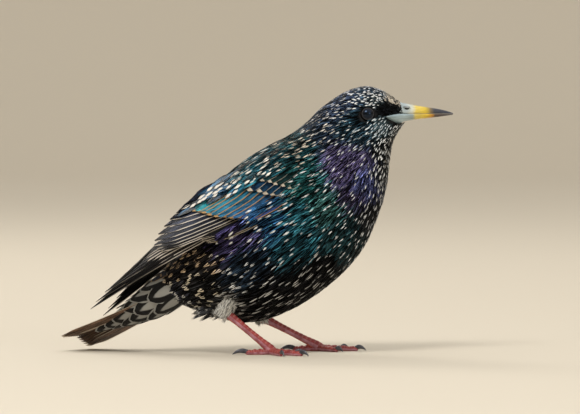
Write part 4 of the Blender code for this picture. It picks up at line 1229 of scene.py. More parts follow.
@dataclass
class BodyCoat:
    """The contour feathers of head, neck and torso, laid in rows from the bill to the rump."""

    body: BodyShape
    window: WingWindow
    maker: Maker
    eyes: Array
    lie: Lie = Lie()
    seed: int = 11
    # By station: length, half width, space between rows, space between feathers of a row, and how
    # deep the roots lie.
    stations: tuple = (0.0, 2.0, 4.0, 5.5, 7.0, 8.5, 10.0, 12.0, 14.0, 16.0, 18.0)
    lengths: tuple = (2.2, 2.8, 3.8, 6.2, 9.5, 12.5, 14.5, 16.0, 16.5, 14.5, 12.0)
    half_widths: tuple = (0.36, 0.42, 0.52, 0.58, 0.68, 0.85, 1.1, 1.4, 1.7, 1.9, 2.0)
    row_spaces: tuple = (0.75, 0.85, 1.1, 1.8, 2.8, 3.6, 4.4, 5.2, 5.4, 4.6, 3.5)
    column_spaces: tuple = (0.50, 0.58, 0.70, 0.74, 0.84, 1.05, 1.35, 1.75, 2.05, 2.4, 2.5)
    depths: tuple = (0.7, 0.8, 1.0, 1.2, 1.7, 2.3, 2.9, 3.3, 3.4, 3.3, 3.0)
    first: float = 0.7
    # Each mesh of feathers: the stations where it starts and ends, its vane and its slot.
    stretches: tuple = (
        ("coat_head", -1.0, 5.0, Vanes.SMALL, Slot.HEAD),
        ("coat_neck", 5.0, 8.0, Vanes.HACKLE, Slot.BODY),
        ("coat_breast", 8.0, 11.5, Vanes.HACKLE, Slot.BODY),
        ("coat_flanks", 11.5, 14.4, Vanes.HACKLE, Slot.BODY),
        ("coat_vent", 14.4, 99.0, Vanes.ROUND, Slot.BODY),
    )
    strands: tuple = (("barbs_front", 5.0, 9.0), ("barbs_rear", 9.0, 99.0))
    bare_round_eye: float = 3.6
    # The bare wedge of the lower half of the bill in the side view: x at the corner of the mouth
    # and at the full depth, the lower edge's z at both, and the upper edge's.
    gape_x: Place = (61.6, 64.2)
    gape_low: Place = (113.6, 110.3)
    gape_high: float = 114.6
    # How high a vane arches by its half width, and how unevenly the feathers turn, lie and twist.
    arch: float = 0.18
    turn_spread: float = 0.09
    uneven: float = 0.05
    twist: float = 0.16

    def by_station(self, values: tuple, s: Array) -> Array:
        """A value at station places."""
        return np.interp(s, self.stations, values)

    def roots(self, draw: Draw, row_scale: float, column_scale: float) -> tuple[Array, Array, Array]:
        """Places of the feathers' roots, in staggered rows with some disorder.

        Args:
            draw: the source of the disorder.
            row_scale: how far apart the rows are, against the body's own spacing.
            column_scale: the same for the feathers of a row.

        Returns:
            The places s and q, and for each feather its turn, from 0 to 1: of any share of the
            feathers, those with the lowest turns are evenly spread.
        """
        all_s, all_q, turns, s, row = [], [], [], self.first, 0
        while s < self.body.last - 0.2:
            around = self.body.round_at(s)
            space = float(self.by_station(self.column_spaces, s)) * column_scale
            count = 2 * max(int(round(around / space)), 3)
            column = np.arange(count)
            q = (column + 0.5 * (row % 2)) / count * 2 - 1
            all_q.append(q + draw.normal(0, 0.2 * space / around, count))
            along, _ = self.body.steps(np.array(s), np.array(0.5))
            step = float(self.by_station(self.row_spaces, s)) * row_scale / float(np.linalg.norm(along))
            all_s.append(s + draw.normal(0, 0.32 * step, count))
            turns.append((column * 0.5 + row * 0.25 + 0.125 + draw.normal(0, 0.05, count)) % 1)
            s += step
            row += 1
        return np.concatenate(all_s), np.concatenate(all_q), np.concatenate(turns)

    def frame_at(self, s: Array, q: Array) -> tuple[Array, Array, Array]:
        """Outward directions, the feathers' ways, and what turns a move there into one of s and q."""
        along, around = self.body.steps(s, q)
        normal = self.body.normal(s, q)
        back = unit(along - normal * dot(along, normal))
        way = self.lie.way(self.body.point(s, q), normal, back)
        return normal, way, np.linalg.pinv(np.stack((along, around), -1))

    def lay(
        self, kind: Vanes, place: tuple[Array, Array, Array], length: Array, half_width: Array,
        draw: Draw, depth: Array, lift: float | Array = 0.0,
    ) -> Flock:
        """Lays one feather at each place, from its sunken root out to its tip at the surface.

        Args:
            kind: the vane to copy.
            place: the roots' places s and q, and their turns.
            length: lengths in millimetres.
            half_width: half widths in millimetres.
            draw: the source of the small differences.
            depth: how deep the roots lie under the surface.
            lift: how far the tips stand out of it.

        Returns:
            The feathers, with their markings by zone.
        """
        s, q, turns = place
        count = len(s)
        template = vane_model(kind)
        normal, way, solve = self.frame_at(s, q)
        across = unit(np.cross(normal, way))
        stray = draw.normal(0, self.turn_spread, count)[:, None]
        way, across = way + across * stray, across - way * stray
        run = np.einsum("nij,nj->ni", solve, way * length[:, None])
        wide = np.einsum("nij,nj->ni", solve, across * half_width[:, None])
        u, v, h = template.points.T
        place_s = s[:, None] + run[:, :1] * v + wide[:, :1] * u
        place_q = q[:, None] + run[:, 1:] * v + wide[:, 1:] * u
        out = -depth[:, None] * root_sink(v) + np.reshape(lift, (-1, 1)) * v**2
        uneven = self.uneven * draw.normal(0, 1, count)[:, None] * depth[:, None]
        out = out + h * (self.arch * half_width[:, None]) + uneven
        out = out + draw.normal(0, self.twist, count)[:, None] * u * half_width[:, None]
        surface = self.window.rise_over(self.body.point(place_s, place_q))
        held = np.clip(place_s, 0, self.body.last)
        points = surface + self.body.normal(held, place_q) * out[..., None]
        tips = self.body.point(s + run[:, 0], q + run[:, 1])
        stray = 0.12 * length[:, None] * draw.normal(0, 1, (count, 2))
        looks = zone_values(tips[:, 0] + stray[:, 0], tips[:, 2] + stray[:, 1])
        vary = np.exp(draw.normal(-0.1, 0.55, (count, 1)))
        start = 1 - looks["mark_length"] / length * draw.uniform(0.75, 1.2, count)
        start = np.where(turns < looks["marked"], np.clip(start, 0.1, 0.95), UNMARKED)
        width = looks["mark_width"] / half_width * draw.uniform(0.85, 1.2, count)
        roots = np.stack(((s + 0.5) / (self.body.last + 1), ((q + 1) % 2) / 2), -1)
        return Flock(
            template,
            points,
            looks["sheen"] * np.clip(vary, 0.15, 2.6),
            np.clip(looks["mark"] * draw.normal(1, 0.10, (count, 1)), 0, 1),
            np.stack((start, width, looks["hollow"]), -1),
            draw.uniform(0, 1, count),
            roots,
        )

    def keeps(self, s: Array, q: Array, length: Array) -> Array:
        """Which feathers stay: those clear of the eyes, the bill and the bare part of the wing."""
        _, way, solve = self.frame_at(s, q)
        run = np.einsum("nij,nj->ni", solve, way * length[:, None])
        keep = np.ones(len(s), bool)
        for share in (0.0, 0.4, 0.7, 0.85, 1.0):
            points = self.body.point(s + run[:, 0] * share, q + run[:, 1] * share)
            if share > 0.5:
                keep &= ~self.window.shows(points)
            for eye in self.eyes:
                keep &= np.linalg.norm(points - eye, axis=-1) > self.bare_round_eye
            x, _, z = points.T
            low = np.interp(x, self.gape_x, self.gape_low)
            keep &= ~((x > self.gape_x[0]) & (z > low) & (z < self.gape_high))
        return keep

    def make(self, finish: Material) -> None:
        """Makes the coat as joined meshes, a stretch of the body each."""
        draw = np.random.default_rng(self.seed)
        s, q, turns = self.roots(draw, 1.0, 1.0)
        length = self.by_station(self.lengths, s) * draw.normal(1, 0.06, len(s))
        half_width = self.by_station(self.half_widths, s)
        depth = self.by_station(self.depths, s)
        side = np.abs((q + 1) % 2 - 1)
        throat = smooth_step(0.60, 0.85, side) * smooth_step(10.5, 8.0, s) * smooth_step(2.0, 4.0, s)
        half_width = half_width * (1 - 0.2 * throat)
        keep = self.keeps(s, q, length)
        for name, start, end, kind, slot in self.stretches:
            chosen = keep & (s >= start) & (s < end)
            place = (s[chosen], q[chosen], turns[chosen])
            sizes = (length[chosen], half_width[chosen])
            flock = self.lay(kind, place, *sizes, draw, depth[chosen], 0.5 * throat[chosen])
            self.maker.feathers(name, [flock], finish, slot)
        self.make_strands(draw, finish)

    def make_strands(self, draw: Draw, finish: Material) -> None:
        """Loose glossy barbs over the contour feathers, which break up their outlines."""
        s, q, turns = self.roots(draw, 0.6, 0.6)
        length = self.by_station(self.lengths, s) * draw.uniform(0.6, 0.95, len(s))
        half_width = self.by_station(self.half_widths, s) * draw.uniform(0.12, 0.22, len(s)) + 0.06
        depth = self.by_station(self.depths, s) * 0.4
        keep = self.keeps(s, q, length)
        for name, start, end in self.strands:
            chosen = keep & (s >= start) & (s < end)
            place = (s[chosen], q[chosen], turns[chosen])
            sizes = (length[chosen], half_width[chosen])
            flock = self.lay(Vanes.STRAND, place, *sizes, draw, depth[chosen], 0.25)
            flock.pattern[:, 0] = UNMARKED
            # Half the strands are painted near-black as shade between barbs, and half painted bright as
            # highlights.
            flock.sheen *= np.where(draw.uniform(0, 1, (len(flock.sheen), 1)) < 0.5, 0.04, 2.2)
            self.maker.feathers(name, [flock], finish, Slot.BODY)


@dataclass
class Skin:
    """One skin under the whole coat: the body, drawn in by the coat's depth, and both thighs."""

    body: BodyShape
    maker: Maker
    stations: tuple = (0.0, 1.4, 2.4, 6.0, 9.0, 12.0, 18.0)
    depths: tuple = (3.0, 2.8, 1.8, 1.7, 3.0, 3.9, 3.6)
    rows: int = 90
    columns: int = 96
    voxel: float = 0.9
    smoothing: int = 6
    # Each thigh's knee and lower end.
    thighs: tuple = (
        ((-7.0, -13.0, 37.0), (-17.2, -13.5, 20.2)),
        ((-3.0, 12.0, 34.0), (1.2, 13.0, 16.5)),
    )
    thigh_radii: tuple = (6.0, 5.8, 4.9, 3.6, 2.0)

    def make(self, finish: Material) -> None:
        """Wraps a grid round the body, adds the thighs, and fuses them."""
        s = np.linspace(0.25, self.body.last - 0.15, self.rows)
        q = np.linspace(-1, 1, self.columns, endpoint=False)
        place_s, place_q = np.meshgrid(s, q, indexing="ij")
        inset = np.interp(place_s, self.stations, self.depths)[..., None]
        rings = self.body.point(place_s, place_q) - self.body.normal(place_s, place_q) * inset
        pieces = [self.maker.tube("skin", rings)]
        for knee, end in self.thighs:
            pieces.append(self.maker.tube("thigh", limb_rings(knee, end, self.thigh_radii)))
        bpy.ops.object.select_all(action="DESELECT")
        for piece in pieces:
            piece.select_set(True)
        bpy.context.view_layer.objects.active = pieces[0]
        bpy.ops.object.join()
        skin = bpy.context.object
        remesh = skin.modifiers.new("fuse", "REMESH")
        remesh.mode = "VOXEL"
        remesh.voxel_size = self.voxel * MM
        bpy.ops.object.modifier_apply(modifier=remesh.name)
        smooth = skin.modifiers.new("smooth", "SMOOTH")
        smooth.iterations = self.smoothing
        bpy.ops.object.modifier_apply(modifier=smooth.name)
        skin.data.shade_smooth()
        nodes = ("head", "neck", "torso", "thigh_right", "thigh_left")
        self.maker.piece(skin, finish, Slot.BODY, nodes)


def limb_rings(start: Sequence, end: Sequence, radii: Sequence, sides: int = 20) -> Array:
    """Rings of points round the line between two places, with evenly spaced radii."""
    start, end = np.array(start, float), np.array(end, float)
    side, front = square_to(start, end)
    angles = round_angles(sides)
    ring = np.outer(np.cos(angles), side) + np.outer(np.sin(angles), front)
    shares = np.linspace(0, 1, len(radii))
    return np.array([start + (end - start) * f + ring * r for f, r in zip(shares, radii)])


@dataclass
class LegPlumage:
    """The short soft feathers down each thigh, and the loose tufts behind it."""

    maker: Maker
    skin: Skin
    seed: int = 41
    rows: int = 12
    length: float = 6.0
    half_width: float = 0.7
    spacing: float = 0.95
    # The first row's place down the thigh, and how much of it the rows cover, as shares.
    covered: Place = (0.3, 0.58)
    least_radius: float = 2.9
    tuft_length: float = 8.5
    tuft_half_width: float = 0.6
    # Each patch of loose tufts: its middle, its spread, the way they hang, and how many.
    tuft_patches: tuple = (
        ((-17.0, -6.0, 21.5), (9.0, 6.0, 2.0), (-0.95, 0.0, -0.22), 80),
        ((-10.0, 8.0, 21.0), (8.0, 6.0, 2.0), (-0.94, 0.0, -0.24), 60),
    )

    def sock(self, knee: Array, end: Array, draw: Draw) -> Flock:
        """Rows of feathers round a thigh, from the belly down to the bare leg."""
        side, front = square_to(knee, end)
        u, v, h = vane_model(Vanes.DOWN).points.T
        radii = self.skin.thigh_radii
        points, roots = [], []
        for row in range(self.rows):
            share = self.covered[0] + self.covered[1] * row / (self.rows - 1)
            radius = np.interp(share, np.linspace(0, 1, len(radii)), radii) + 0.2
            count = int(2 * math.pi * radius / self.spacing)
            for i in range(count):
                angle = 2 * math.pi * (i + 0.5 * (row % 2)) / count + draw.normal(0, 0.1)
                length = self.length * draw.uniform(0.8, 1.15)
                down = share + v * length / float(np.linalg.norm(end - knee))
                wide = np.interp(down, np.linspace(0, 1.25, len(radii)), radii)
                wide = np.maximum(wide, self.least_radius) + 0.5 - 0.9 * (1 - v)
                wide = wide + h * 0.25 + draw.uniform(-0.3, 0.5) * v
                turn = angle + u * self.half_width / wide
                spine = knee + (end - knee) * down[:, None]
                ring = np.cos(turn)[:, None] * side + np.sin(turn)[:, None] * front
                points.append(spine + ring * wide[:, None])
                roots.append((0.05 + 0.4 * share, angle / 7 % 1))
        sheen = np.where(draw.uniform(0, 1, (len(points), 1)) < 0.6, 0.42, 0.10) * (1.0, 0.97, 0.93)
        mark, pattern = (0.70, 0.69, 0.65), (0.5, 0.6, 0.0)
        return even_flock(Vanes.DOWN, np.array(points), sheen, mark, pattern, np.array(roots), draw)

    def tufts(self, place: Sequence, spread: Sequence, way: Sequence, count: int, draw: Draw) -> Flock:
        """Loose feathers that hang from a patch of the belly.

        Args:
            place: the middle of the patch.
            spread: how far the roots are spread about it.
            way: which way the feathers hang.
            count: how many there are.
            draw: the source of the differences.

        Returns:
            The tufts.
        """
        u, v, h = vane_model(Vanes.DOWN).points.T
        points, roots = [], []
        for i in range(count):
            start = place + draw.uniform(-1, 1, 3) * spread
            turn = unit(way + draw.normal(0, 0.16, 3))
            across = unit(np.cross(turn, (0, 1, 0)) + draw.normal(0, 0.3, 3))
            face = np.cross(across, turn)
            length = self.tuft_length * draw.uniform(0.6, 1.1)
            spine = start + turn * (v * length)[:, None] + np.outer(v**2, (-0.6, 0.0, -0.5))
            wide = across * (u * self.tuft_half_width)[:, None]
            points.append(spine + wide + face * (h * 0.2)[:, None])
            roots.append((0.6 + 0.3 * i / count, 0.5))
        looks = ((0.030, 0.032, 0.038), (0.52, 0.51, 0.48), (0.72, 0.8, 0.3))
        return even_flock(Vanes.DOWN, np.array(points), *looks, np.array(roots), draw, 0.3)

    def make(self, finish: Material) -> None:
        """Makes both socks and the tufts."""
        draw = np.random.default_rng(self.seed)
        for side, (knee, end) in zip(Side, self.skin.thighs):
            knee, end = np.array(knee), np.array(end)
            flock = self.sock(knee, end, draw)
            self.maker.feathers(f"sock_{side.name.lower()}", [flock], finish, Slot.LEG_PLUMAGE)
        flocks = [self.tufts(*patch, draw) for patch in self.tuft_patches]
        self.maker.feathers("vent_tufts", flocks, finish, Slot.BODY)


# Wings


@dataclass(frozen=True)
class Tier:
    """A row of wing feathers, from the one nearest the back to the one nearest the belly.

    Roots and tips are side-view places, each list a curve that the feathers are spread along.
    lift is how far the tips lie out from the wing's surface, tilt how much further out the lower
    edge lies than the middle, bow how far the feather bends downwards, and skew how much its
    tip's taper comes off the lower side. sheen gives the colours of the first and the last
    feather, and mark that of all their marks. rim is how wide the pale lower edge is, tip_mark
    where along the vane the pale tip starts, and upper_rim how strong the pale upper edge is.
    """

    name: str
    count: int
    roots: tuple
    tips: tuple
    half_widths: tuple
    kind: Vanes
    lift: float
    tilt: float
    bow: float
    skew: float
    sheen: tuple
    mark: Colour
    rim: float
    tip_mark: float
    upper_rim: float = 0.0


GREY_BUFF = (0.50, 0.43, 0.33)
PRIMARY_EDGE = (0.68, 0.62, 0.54)
ORANGE_BUFF = (0.52, 0.31, 0.13)
WING_TIERS = (
    Tier(
        "primaries", 7, ((-13, 73.5), (-8, 67)),
        ((-57, 47.5), (-66.5, 39.2), (-75, 31.7), (-81.8, 22.8)),
        (3.4, 3.0), Vanes.POINTED, -3.0, 0.2, -1.7, -0.6,
        ((0.024, 0.022, 0.026), (0.012, 0.011, 0.012)), PRIMARY_EDGE, 0.14, 1.1,
    ),
    Tier(
        "secondaries", 12, ((-14, 83.5), (-8, 75), (-5, 67.5)),
        ((-33.0, 73.2), (-41.8, 65.6), (-50.6, 53.4), (-46.0, 49.8)),
        (2.7, 2.4), Vanes.LONG, -1.3, 0.22, -0.6, 0.0,
        # The first secondaries' blue is partly their own gloss and partly painted sheen where light falls
        # on the upper feathers.
        ((0.050, 0.068, 0.130), (0.008, 0.007, 0.008)), PRIMARY_EDGE, 0.16, 1.1,
    ),
    Tier(
        "primary_coverts", 5, ((0, 68), (3, 65)), ((-28.5, 56.0), (-24.5, 53.6)),
        (1.6, 1.4), Vanes.OVAL, -1.3, 0.2, 0.3, 0.0,
        ((0.010, 0.010, 0.013), (0.012, 0.012, 0.014)), GREY_BUFF, 0.22, 0.98, 0.6,
    ),
    Tier(
        "greater_coverts", 10, ((-5, 86.5), (16, 77)), ((-32.0, 68.6), (-19.0, 66.2), (-4.5, 65.6)),
        (2.5, 2.1), Vanes.SQUARE, 0.2, 0.22, 0.5, 0.35,
        ((0.020, 0.300, 0.360), (0.070, 0.150, 0.500)), ORANGE_BUFF, 0.16, 0.935,
    ),
    Tier(
        "median_coverts", 8, ((2, 91), (13, 87.5), (22, 84.5)), ((-12, 79.5), (1, 77.2), (10, 75.6)),
        (2.3, 2.0), Vanes.ROUND, 0.6, 0.25, 0.3, 0.2,
        ((0.008, 0.050, 0.130), (0.008, 0.065, 0.130)), BUFF_WHITE, 0.08, 0.87,
    ),
    Tier(
        "lesser_coverts", 8, ((9, 92), (26, 86)), ((-4.0, 84.5), (6.0, 82.0), (16.0, 79.0)),
        (1.9, 1.6), Vanes.ROUND, 0.9, 0.25, 0.2, 0.2,
        ((0.008, 0.045, 0.060), (0.008, 0.060, 0.055)), BUFF_WHITE, 0.07, 0.87,
    ),
)


@dataclass
class Wing:
    """A folded wing: its bed, tiers of overlapping feathers, and the back feathers over its edge."""

    shape: WingShape
    window: WingWindow
    maker: Maker
    side: Side
    seed: int = 21
    root_depth: float = 2.6
    thickness: float = 0.28
    bed_end: float = 62.0
    bed_lifts: tuple = (-2.4, -6.0)
    # How far the far wing's tip hangs lower, and by how much it is shorter.
    droop: float = 6.0
    shorten: float = 3.0
    droop_from: float = 55.0
    back_length: float = 14.0
    back_half_width: float = 1.5

    def place(self, x: Array, z: Array, lift: Array) -> Array:
        """Points over side-view places, at a height over the wing's surface, on the wing's side."""
        distance, across = self.shape.chart(x, z)
        points = self.shape.point(distance, across)
        points = points + self.shape.outward(distance, across) * lift[..., None]
        if self.side is Side.LEFT:
            share = smooth_step(self.droop_from, self.shape.distances[-1], distance)[..., None]
            along, down = self.shape.axes()
            shift = (down * self.droop - along * self.shorten) * share
            points = points + np.stack((shift[..., 0], 0 * shift[..., 0], shift[..., 1]), -1)
        return points * (1, self.side.value, 1)

    def tier(self, tier: Tier, draw: Draw) -> Flock:
        """The feathers of one tier."""
        template = vane_model(tier.kind)
        f = np.linspace(0, 1, tier.count)
        root = spline(tier.roots, f * (len(tier.roots) - 1))
        tip = spline(tier.tips, f * (len(tier.tips) - 1))
        half_width = (tier.half_widths[0] + (tier.half_widths[1] - tier.half_widths[0]) * f)[:, None]
        run = tip - root
        run *= 1 + draw.uniform(-0.5, 0.5, (tier.count, 1)) / np.linalg.norm(run, axis=1, keepdims=True)
        down = unit(np.stack((-run[:, 1], run[:, 0]), -1))
        down *= np.where(down[:, 1:] > 0, -1, 1)
        u, v, h = template.points.T
        skewed = u - tier.skew * (1 - template.share) * smooth_step(0.4, 0.8, v)
        offset = skewed[None] * half_width
        bow = tier.bow * 4 * (v - v**2)
        flat = root[:, None] + run[:, None] * v[None, :, None] + down[:, None] * (offset + bow)[..., None]
        lift = tier.lift + tier.tilt * offset - self.root_depth * (1 - v) ** 2 + h * self.thickness
        lift = lift + draw.normal(0, 0.04, tier.count)[:, None]
        points = self.place(flat[..., 0], flat[..., 1], lift)
        first, last = np.array(tier.sheen)
        sheen = first + (last - first) * f[:, None]
        order = WING_TIERS.index(tier)
        roots = np.stack((0.05 + 0.9 * f, np.full(tier.count, 0.1 + 0.15 * order)), -1)
        pattern = (tier.tip_mark, tier.rim, tier.upper_rim)
        return even_flock(tier.kind, points, sheen, tier.mark, pattern, roots, draw, 0.12)

    def back_feathers(self, draw: Draw) -> Flock:
        """Feathers of the shoulder and back that lie over the wing's upper edge."""
        u, v, h = vane_model(Vanes.HACKLE).points.T
        along, down = self.shape.axes()
        points, sheen, mark, pattern, roots = [], [], [], [], []
        for row, distance in enumerate(np.arange(4.0, 60.0, 3.4)):
            upper = float(self.shape.edges(np.array(distance))[0])
            tip_at = distance + self.back_length
            tip_limit = float(np.interp(tip_at, self.window.distances, self.window.upper))
            for column, offset in enumerate(np.arange(upper + 1.2, tip_limit - 0.4, 1.9)):
                offset = offset + 0.95 * (row % 2) + draw.normal(0, 0.25)
                start = np.array(self.shape.shoulder) + along * (distance + draw.normal(0, 0.5))
                start = start + down * offset
                turn = math.radians(5 + draw.normal(0, 3))
                way = along * math.cos(turn) + down * math.sin(turn)
                beside = down * math.cos(turn) - along * math.sin(turn)
                length = self.back_length * draw.uniform(0.9, 1.1)
                half = self.back_half_width * draw.uniform(0.9, 1.1)
                flat = start + way * (v * length)[:, None] + beside * (u * half)[:, None]
                lift = 0.7 + 0.7 * smooth_step(0, 5, offset - upper) - 2.2 * root_sink(v)
                lift = lift + h * 0.3 + draw.normal(0, 0.12) + 0.15 * u * half
                points.append(self.place(flat[:, 0], flat[:, 1], lift))
                tip = start + way * length
                looks = zone_values(tip[:1], tip[1:])
                marked = (column * 0.5 + row * 0.25) % 1 < looks["marked"][0]
                sheen.append(looks["sheen"][0] * math.exp(draw.normal(0, 0.3)))
                mark.append(looks["mark"][0])
                reach = looks["mark_length"][0] / length * draw.uniform(0.8, 1.2)
                begin = 1 - reach if marked else UNMARKED
                pattern.append((begin, looks["mark_width"][0] / half, 0.0))
                roots.append((0.05 + distance / 70, 0.9))
        values = [np.array(v) for v in (points, sheen, mark, pattern, roots)]
        return even_flock(Vanes.HACKLE, *values, draw, 0.1)

    def make(self, finish: Material, back_finish: Material, bed_finish: Material) -> None:
        """Makes the wing's pieces."""
        draw = np.random.default_rng(self.seed)
        label = self.side.name.lower()
        flocks = [self.tier(tier, draw) for tier in WING_TIERS]
        self.maker.feathers(f"wing_{label}_feathers", flocks, finish, Slot.WING, (f"wing_{label}",))
        back = self.back_feathers(draw)
        self.maker.feathers(f"scapulars_{label}", [back], back_finish, Slot.BODY)
        self.make_bed(f"wing_{label}_bed", bed_finish)

    def make_bed(self, name: str, finish: Material) -> None:
        """The flesh of the arm under the coverts, in the dark feather-base finish that is also painted
        shade between the feathers.
        """
        rows, columns = 30, 12
        distance = np.linspace(1.0, self.bed_end, rows)
        upper, lower = self.shape.edges(distance)[:, :2].T
        across = upper[:, None] + (lower - upper)[:, None] * np.linspace(0.06, 0.94, columns)
        flat = np.repeat(distance[:, None], columns, 1)
        sheets = []
        for lift in self.bed_lifts:
            sink = lift - 2.5 * smooth_step(30, self.bed_end, flat)
            out = self.shape.outward(flat, across) * sink[..., None]
            sheets.append(self.shape.point(flat, across) + out)
        rings = np.concatenate((sheets[0], sheets[1][:, ::-1]), 1) * (1, self.side.value, 1)
        self.maker.piece(self.maker.tube(name, rings), finish, Slot.WING)


# Tail


@dataclass
class Tail:
    """Twelve long feathers, fanned and stacked, with the coverts that wrap round their roots."""

    shape: TailShape
    maker: Maker
    seed: int = 31
    pairs: int = 6
    half_width: float = 4.2
    root_spacing: float = 0.9
    tip_spacing: float = 2.1
    step_down: float = 0.5
    step_longer: float = 0.2
    start: float = 8.0
    thickness: float = 0.3
    # Rows of coverts under and over the tail: distance of the roots, how many, and half the angle
    # that they span.
    under_rows: tuple = (
        (30.0, 1, 0.0), (24.0, 2, 26.0), (17.0, 3, 50.0), (10.0, 4, 76.0), (3.0, 5, 98.0),
        (-4.0, 6, 112.0),
    )
    over_rows: tuple = (
        (21.0, 4, 36.0), (16.5, 4, 38.0), (12.0, 5, 42.0), (7.0, 5, 48.0), (2.0, 6, 54.0), (-3.0, 6, 58.0),
        (-8.0, 6, 62.0),
    )
    # How far each next row, towards the body, stands out over the one behind it.
    row_rise: float = 0.12
    # The core under the coverts: its ends, rings, points of a ring, and lift from their surface.
    core_ends: Place = (-6.0, 23.0)
    core_rings: int = 14
    core_points: int = 24
    core_lift: float = -1.6

    def long_feathers(self, draw: Draw) -> Flock:
        """The twelve tail feathers."""
        u, v, h = vane_model(Vanes.SQUARE).points.T
        points, pattern = [], []
        for pair in range(self.pairs):
            pattern += [(0.975, 0.15, 1.0) if pair >= self.pairs - 2 else (0.99, 0.04, 0.0)] * 2
            for side in (-1, 1):
                level = -self.step_down * pair + (self.step_down / 2 if pair == 0 and side > 0 else 0)
                spacing = self.root_spacing + (self.tip_spacing - self.root_spacing) * v
                to_left = side * (pair + 0.5) * spacing + u * self.half_width * side
                length = self.shape.length - self.step_longer * (self.pairs - 1 - pair)
                distance = self.start + (length - self.start) * v
                points.append(self.shape.point(distance, to_left, level + h * self.thickness))
        count = len(points)
        roots = np.stack((np.linspace(0.1, 0.9, count), np.full(count, 0.2)), -1)
        sheen, mark = (0.170, 0.098, 0.062), (0.62, 0.53, 0.42)
        return even_flock(Vanes.SQUARE, np.array(points), sheen, mark, np.array(pattern), roots, draw)

    def coverts(
        self, kind: Vanes, rows: tuple, middle: float, size: tuple, draw: Draw
    ) -> tuple[Array, Array]:
        """Coverts in staggered rows round the tail's root.

        Args:
            kind: the vane to copy.
            rows: distance of the roots, how many, and the half angle that they span, in degrees.
            middle: the angle of the rows' middle, in degrees from the underside's.
            size: length and half width.
            draw: the source of the small differences.

        Returns:
            The points and the roots' places on the unwrapped skin.
        """
        u, v, h = vane_model(kind).points.T
        points, roots = [], []
        for row, (start, count, span) in enumerate(rows):
            for i in range(count):
                turn = 0.0 if count == 1 else (2 * i / (count - 1) - 1) * span
                angle = math.radians(middle + turn + draw.normal(0, 2.0))
                length = size[0] * draw.uniform(0.94, 1.06)
                distance = start + length * v + draw.normal(0, 0.4)
                places, half, _, below = np.transpose(self.shape.sleeve)
                radius = (np.interp(distance, places, half) + np.interp(distance, places, below)) / 2
                round_angle = angle + u * size[1] / np.maximum(radius, 3.0)
                lift = 0.3 - 2.4 * root_sink(v) + h * 0.35 + 0.08 * draw.normal(0, 1)
                points.append(self.shape.sleeve_point(distance, round_angle, lift + self.row_rise * row))
                roots.append((start / 60 + 0.3, (math.degrees(angle) / 360) % 1))
        return np.array(points), np.array(roots)

    def make(self, finish: Material, under_finish: Material, core_finish: Material) -> None:
        """Makes the tail's pieces."""
        draw = np.random.default_rng(self.seed)
        self.maker.feathers("tail_feathers", [self.long_feathers(draw)], finish, Slot.TAIL, ("tail",))
        under = ((0.006, 0.006, 0.007), (0.44, 0.44, 0.42), (0.955, 0.14, 1.0))
        over = ((0.020, 0.026, 0.045), (0.40, 0.27, 0.15), (0.92, 0.16, 1.0))
        for name, kind, rows, middle, size, looks, dress in (
            ("under", Vanes.OVAL, self.under_rows, 0.0, (21.0, 6.2), under, under_finish),
            ("over", Vanes.ROUND, self.over_rows, 180.0, (13.0, 2.4), over, finish),
        ):
            points, roots = self.coverts(kind, rows, middle, size, draw)
            flock = even_flock(kind, points, *looks, roots, draw, 0.15)
            self.maker.feathers(f"tail_coverts_{name}", [flock], dress, Slot.TAIL)
        angles, lift = round_angles(self.core_points), np.full(self.core_points, self.core_lift)
        ends = np.linspace(*self.core_ends, self.core_rings)
        rings = [self.shape.sleeve_point(np.full(self.core_points, d), angles, lift) for d in ends]
        self.maker.piece(self.maker.tube("tail_core", np.array(rings)), core_finish, Slot.TAIL)


# Bill and eyes


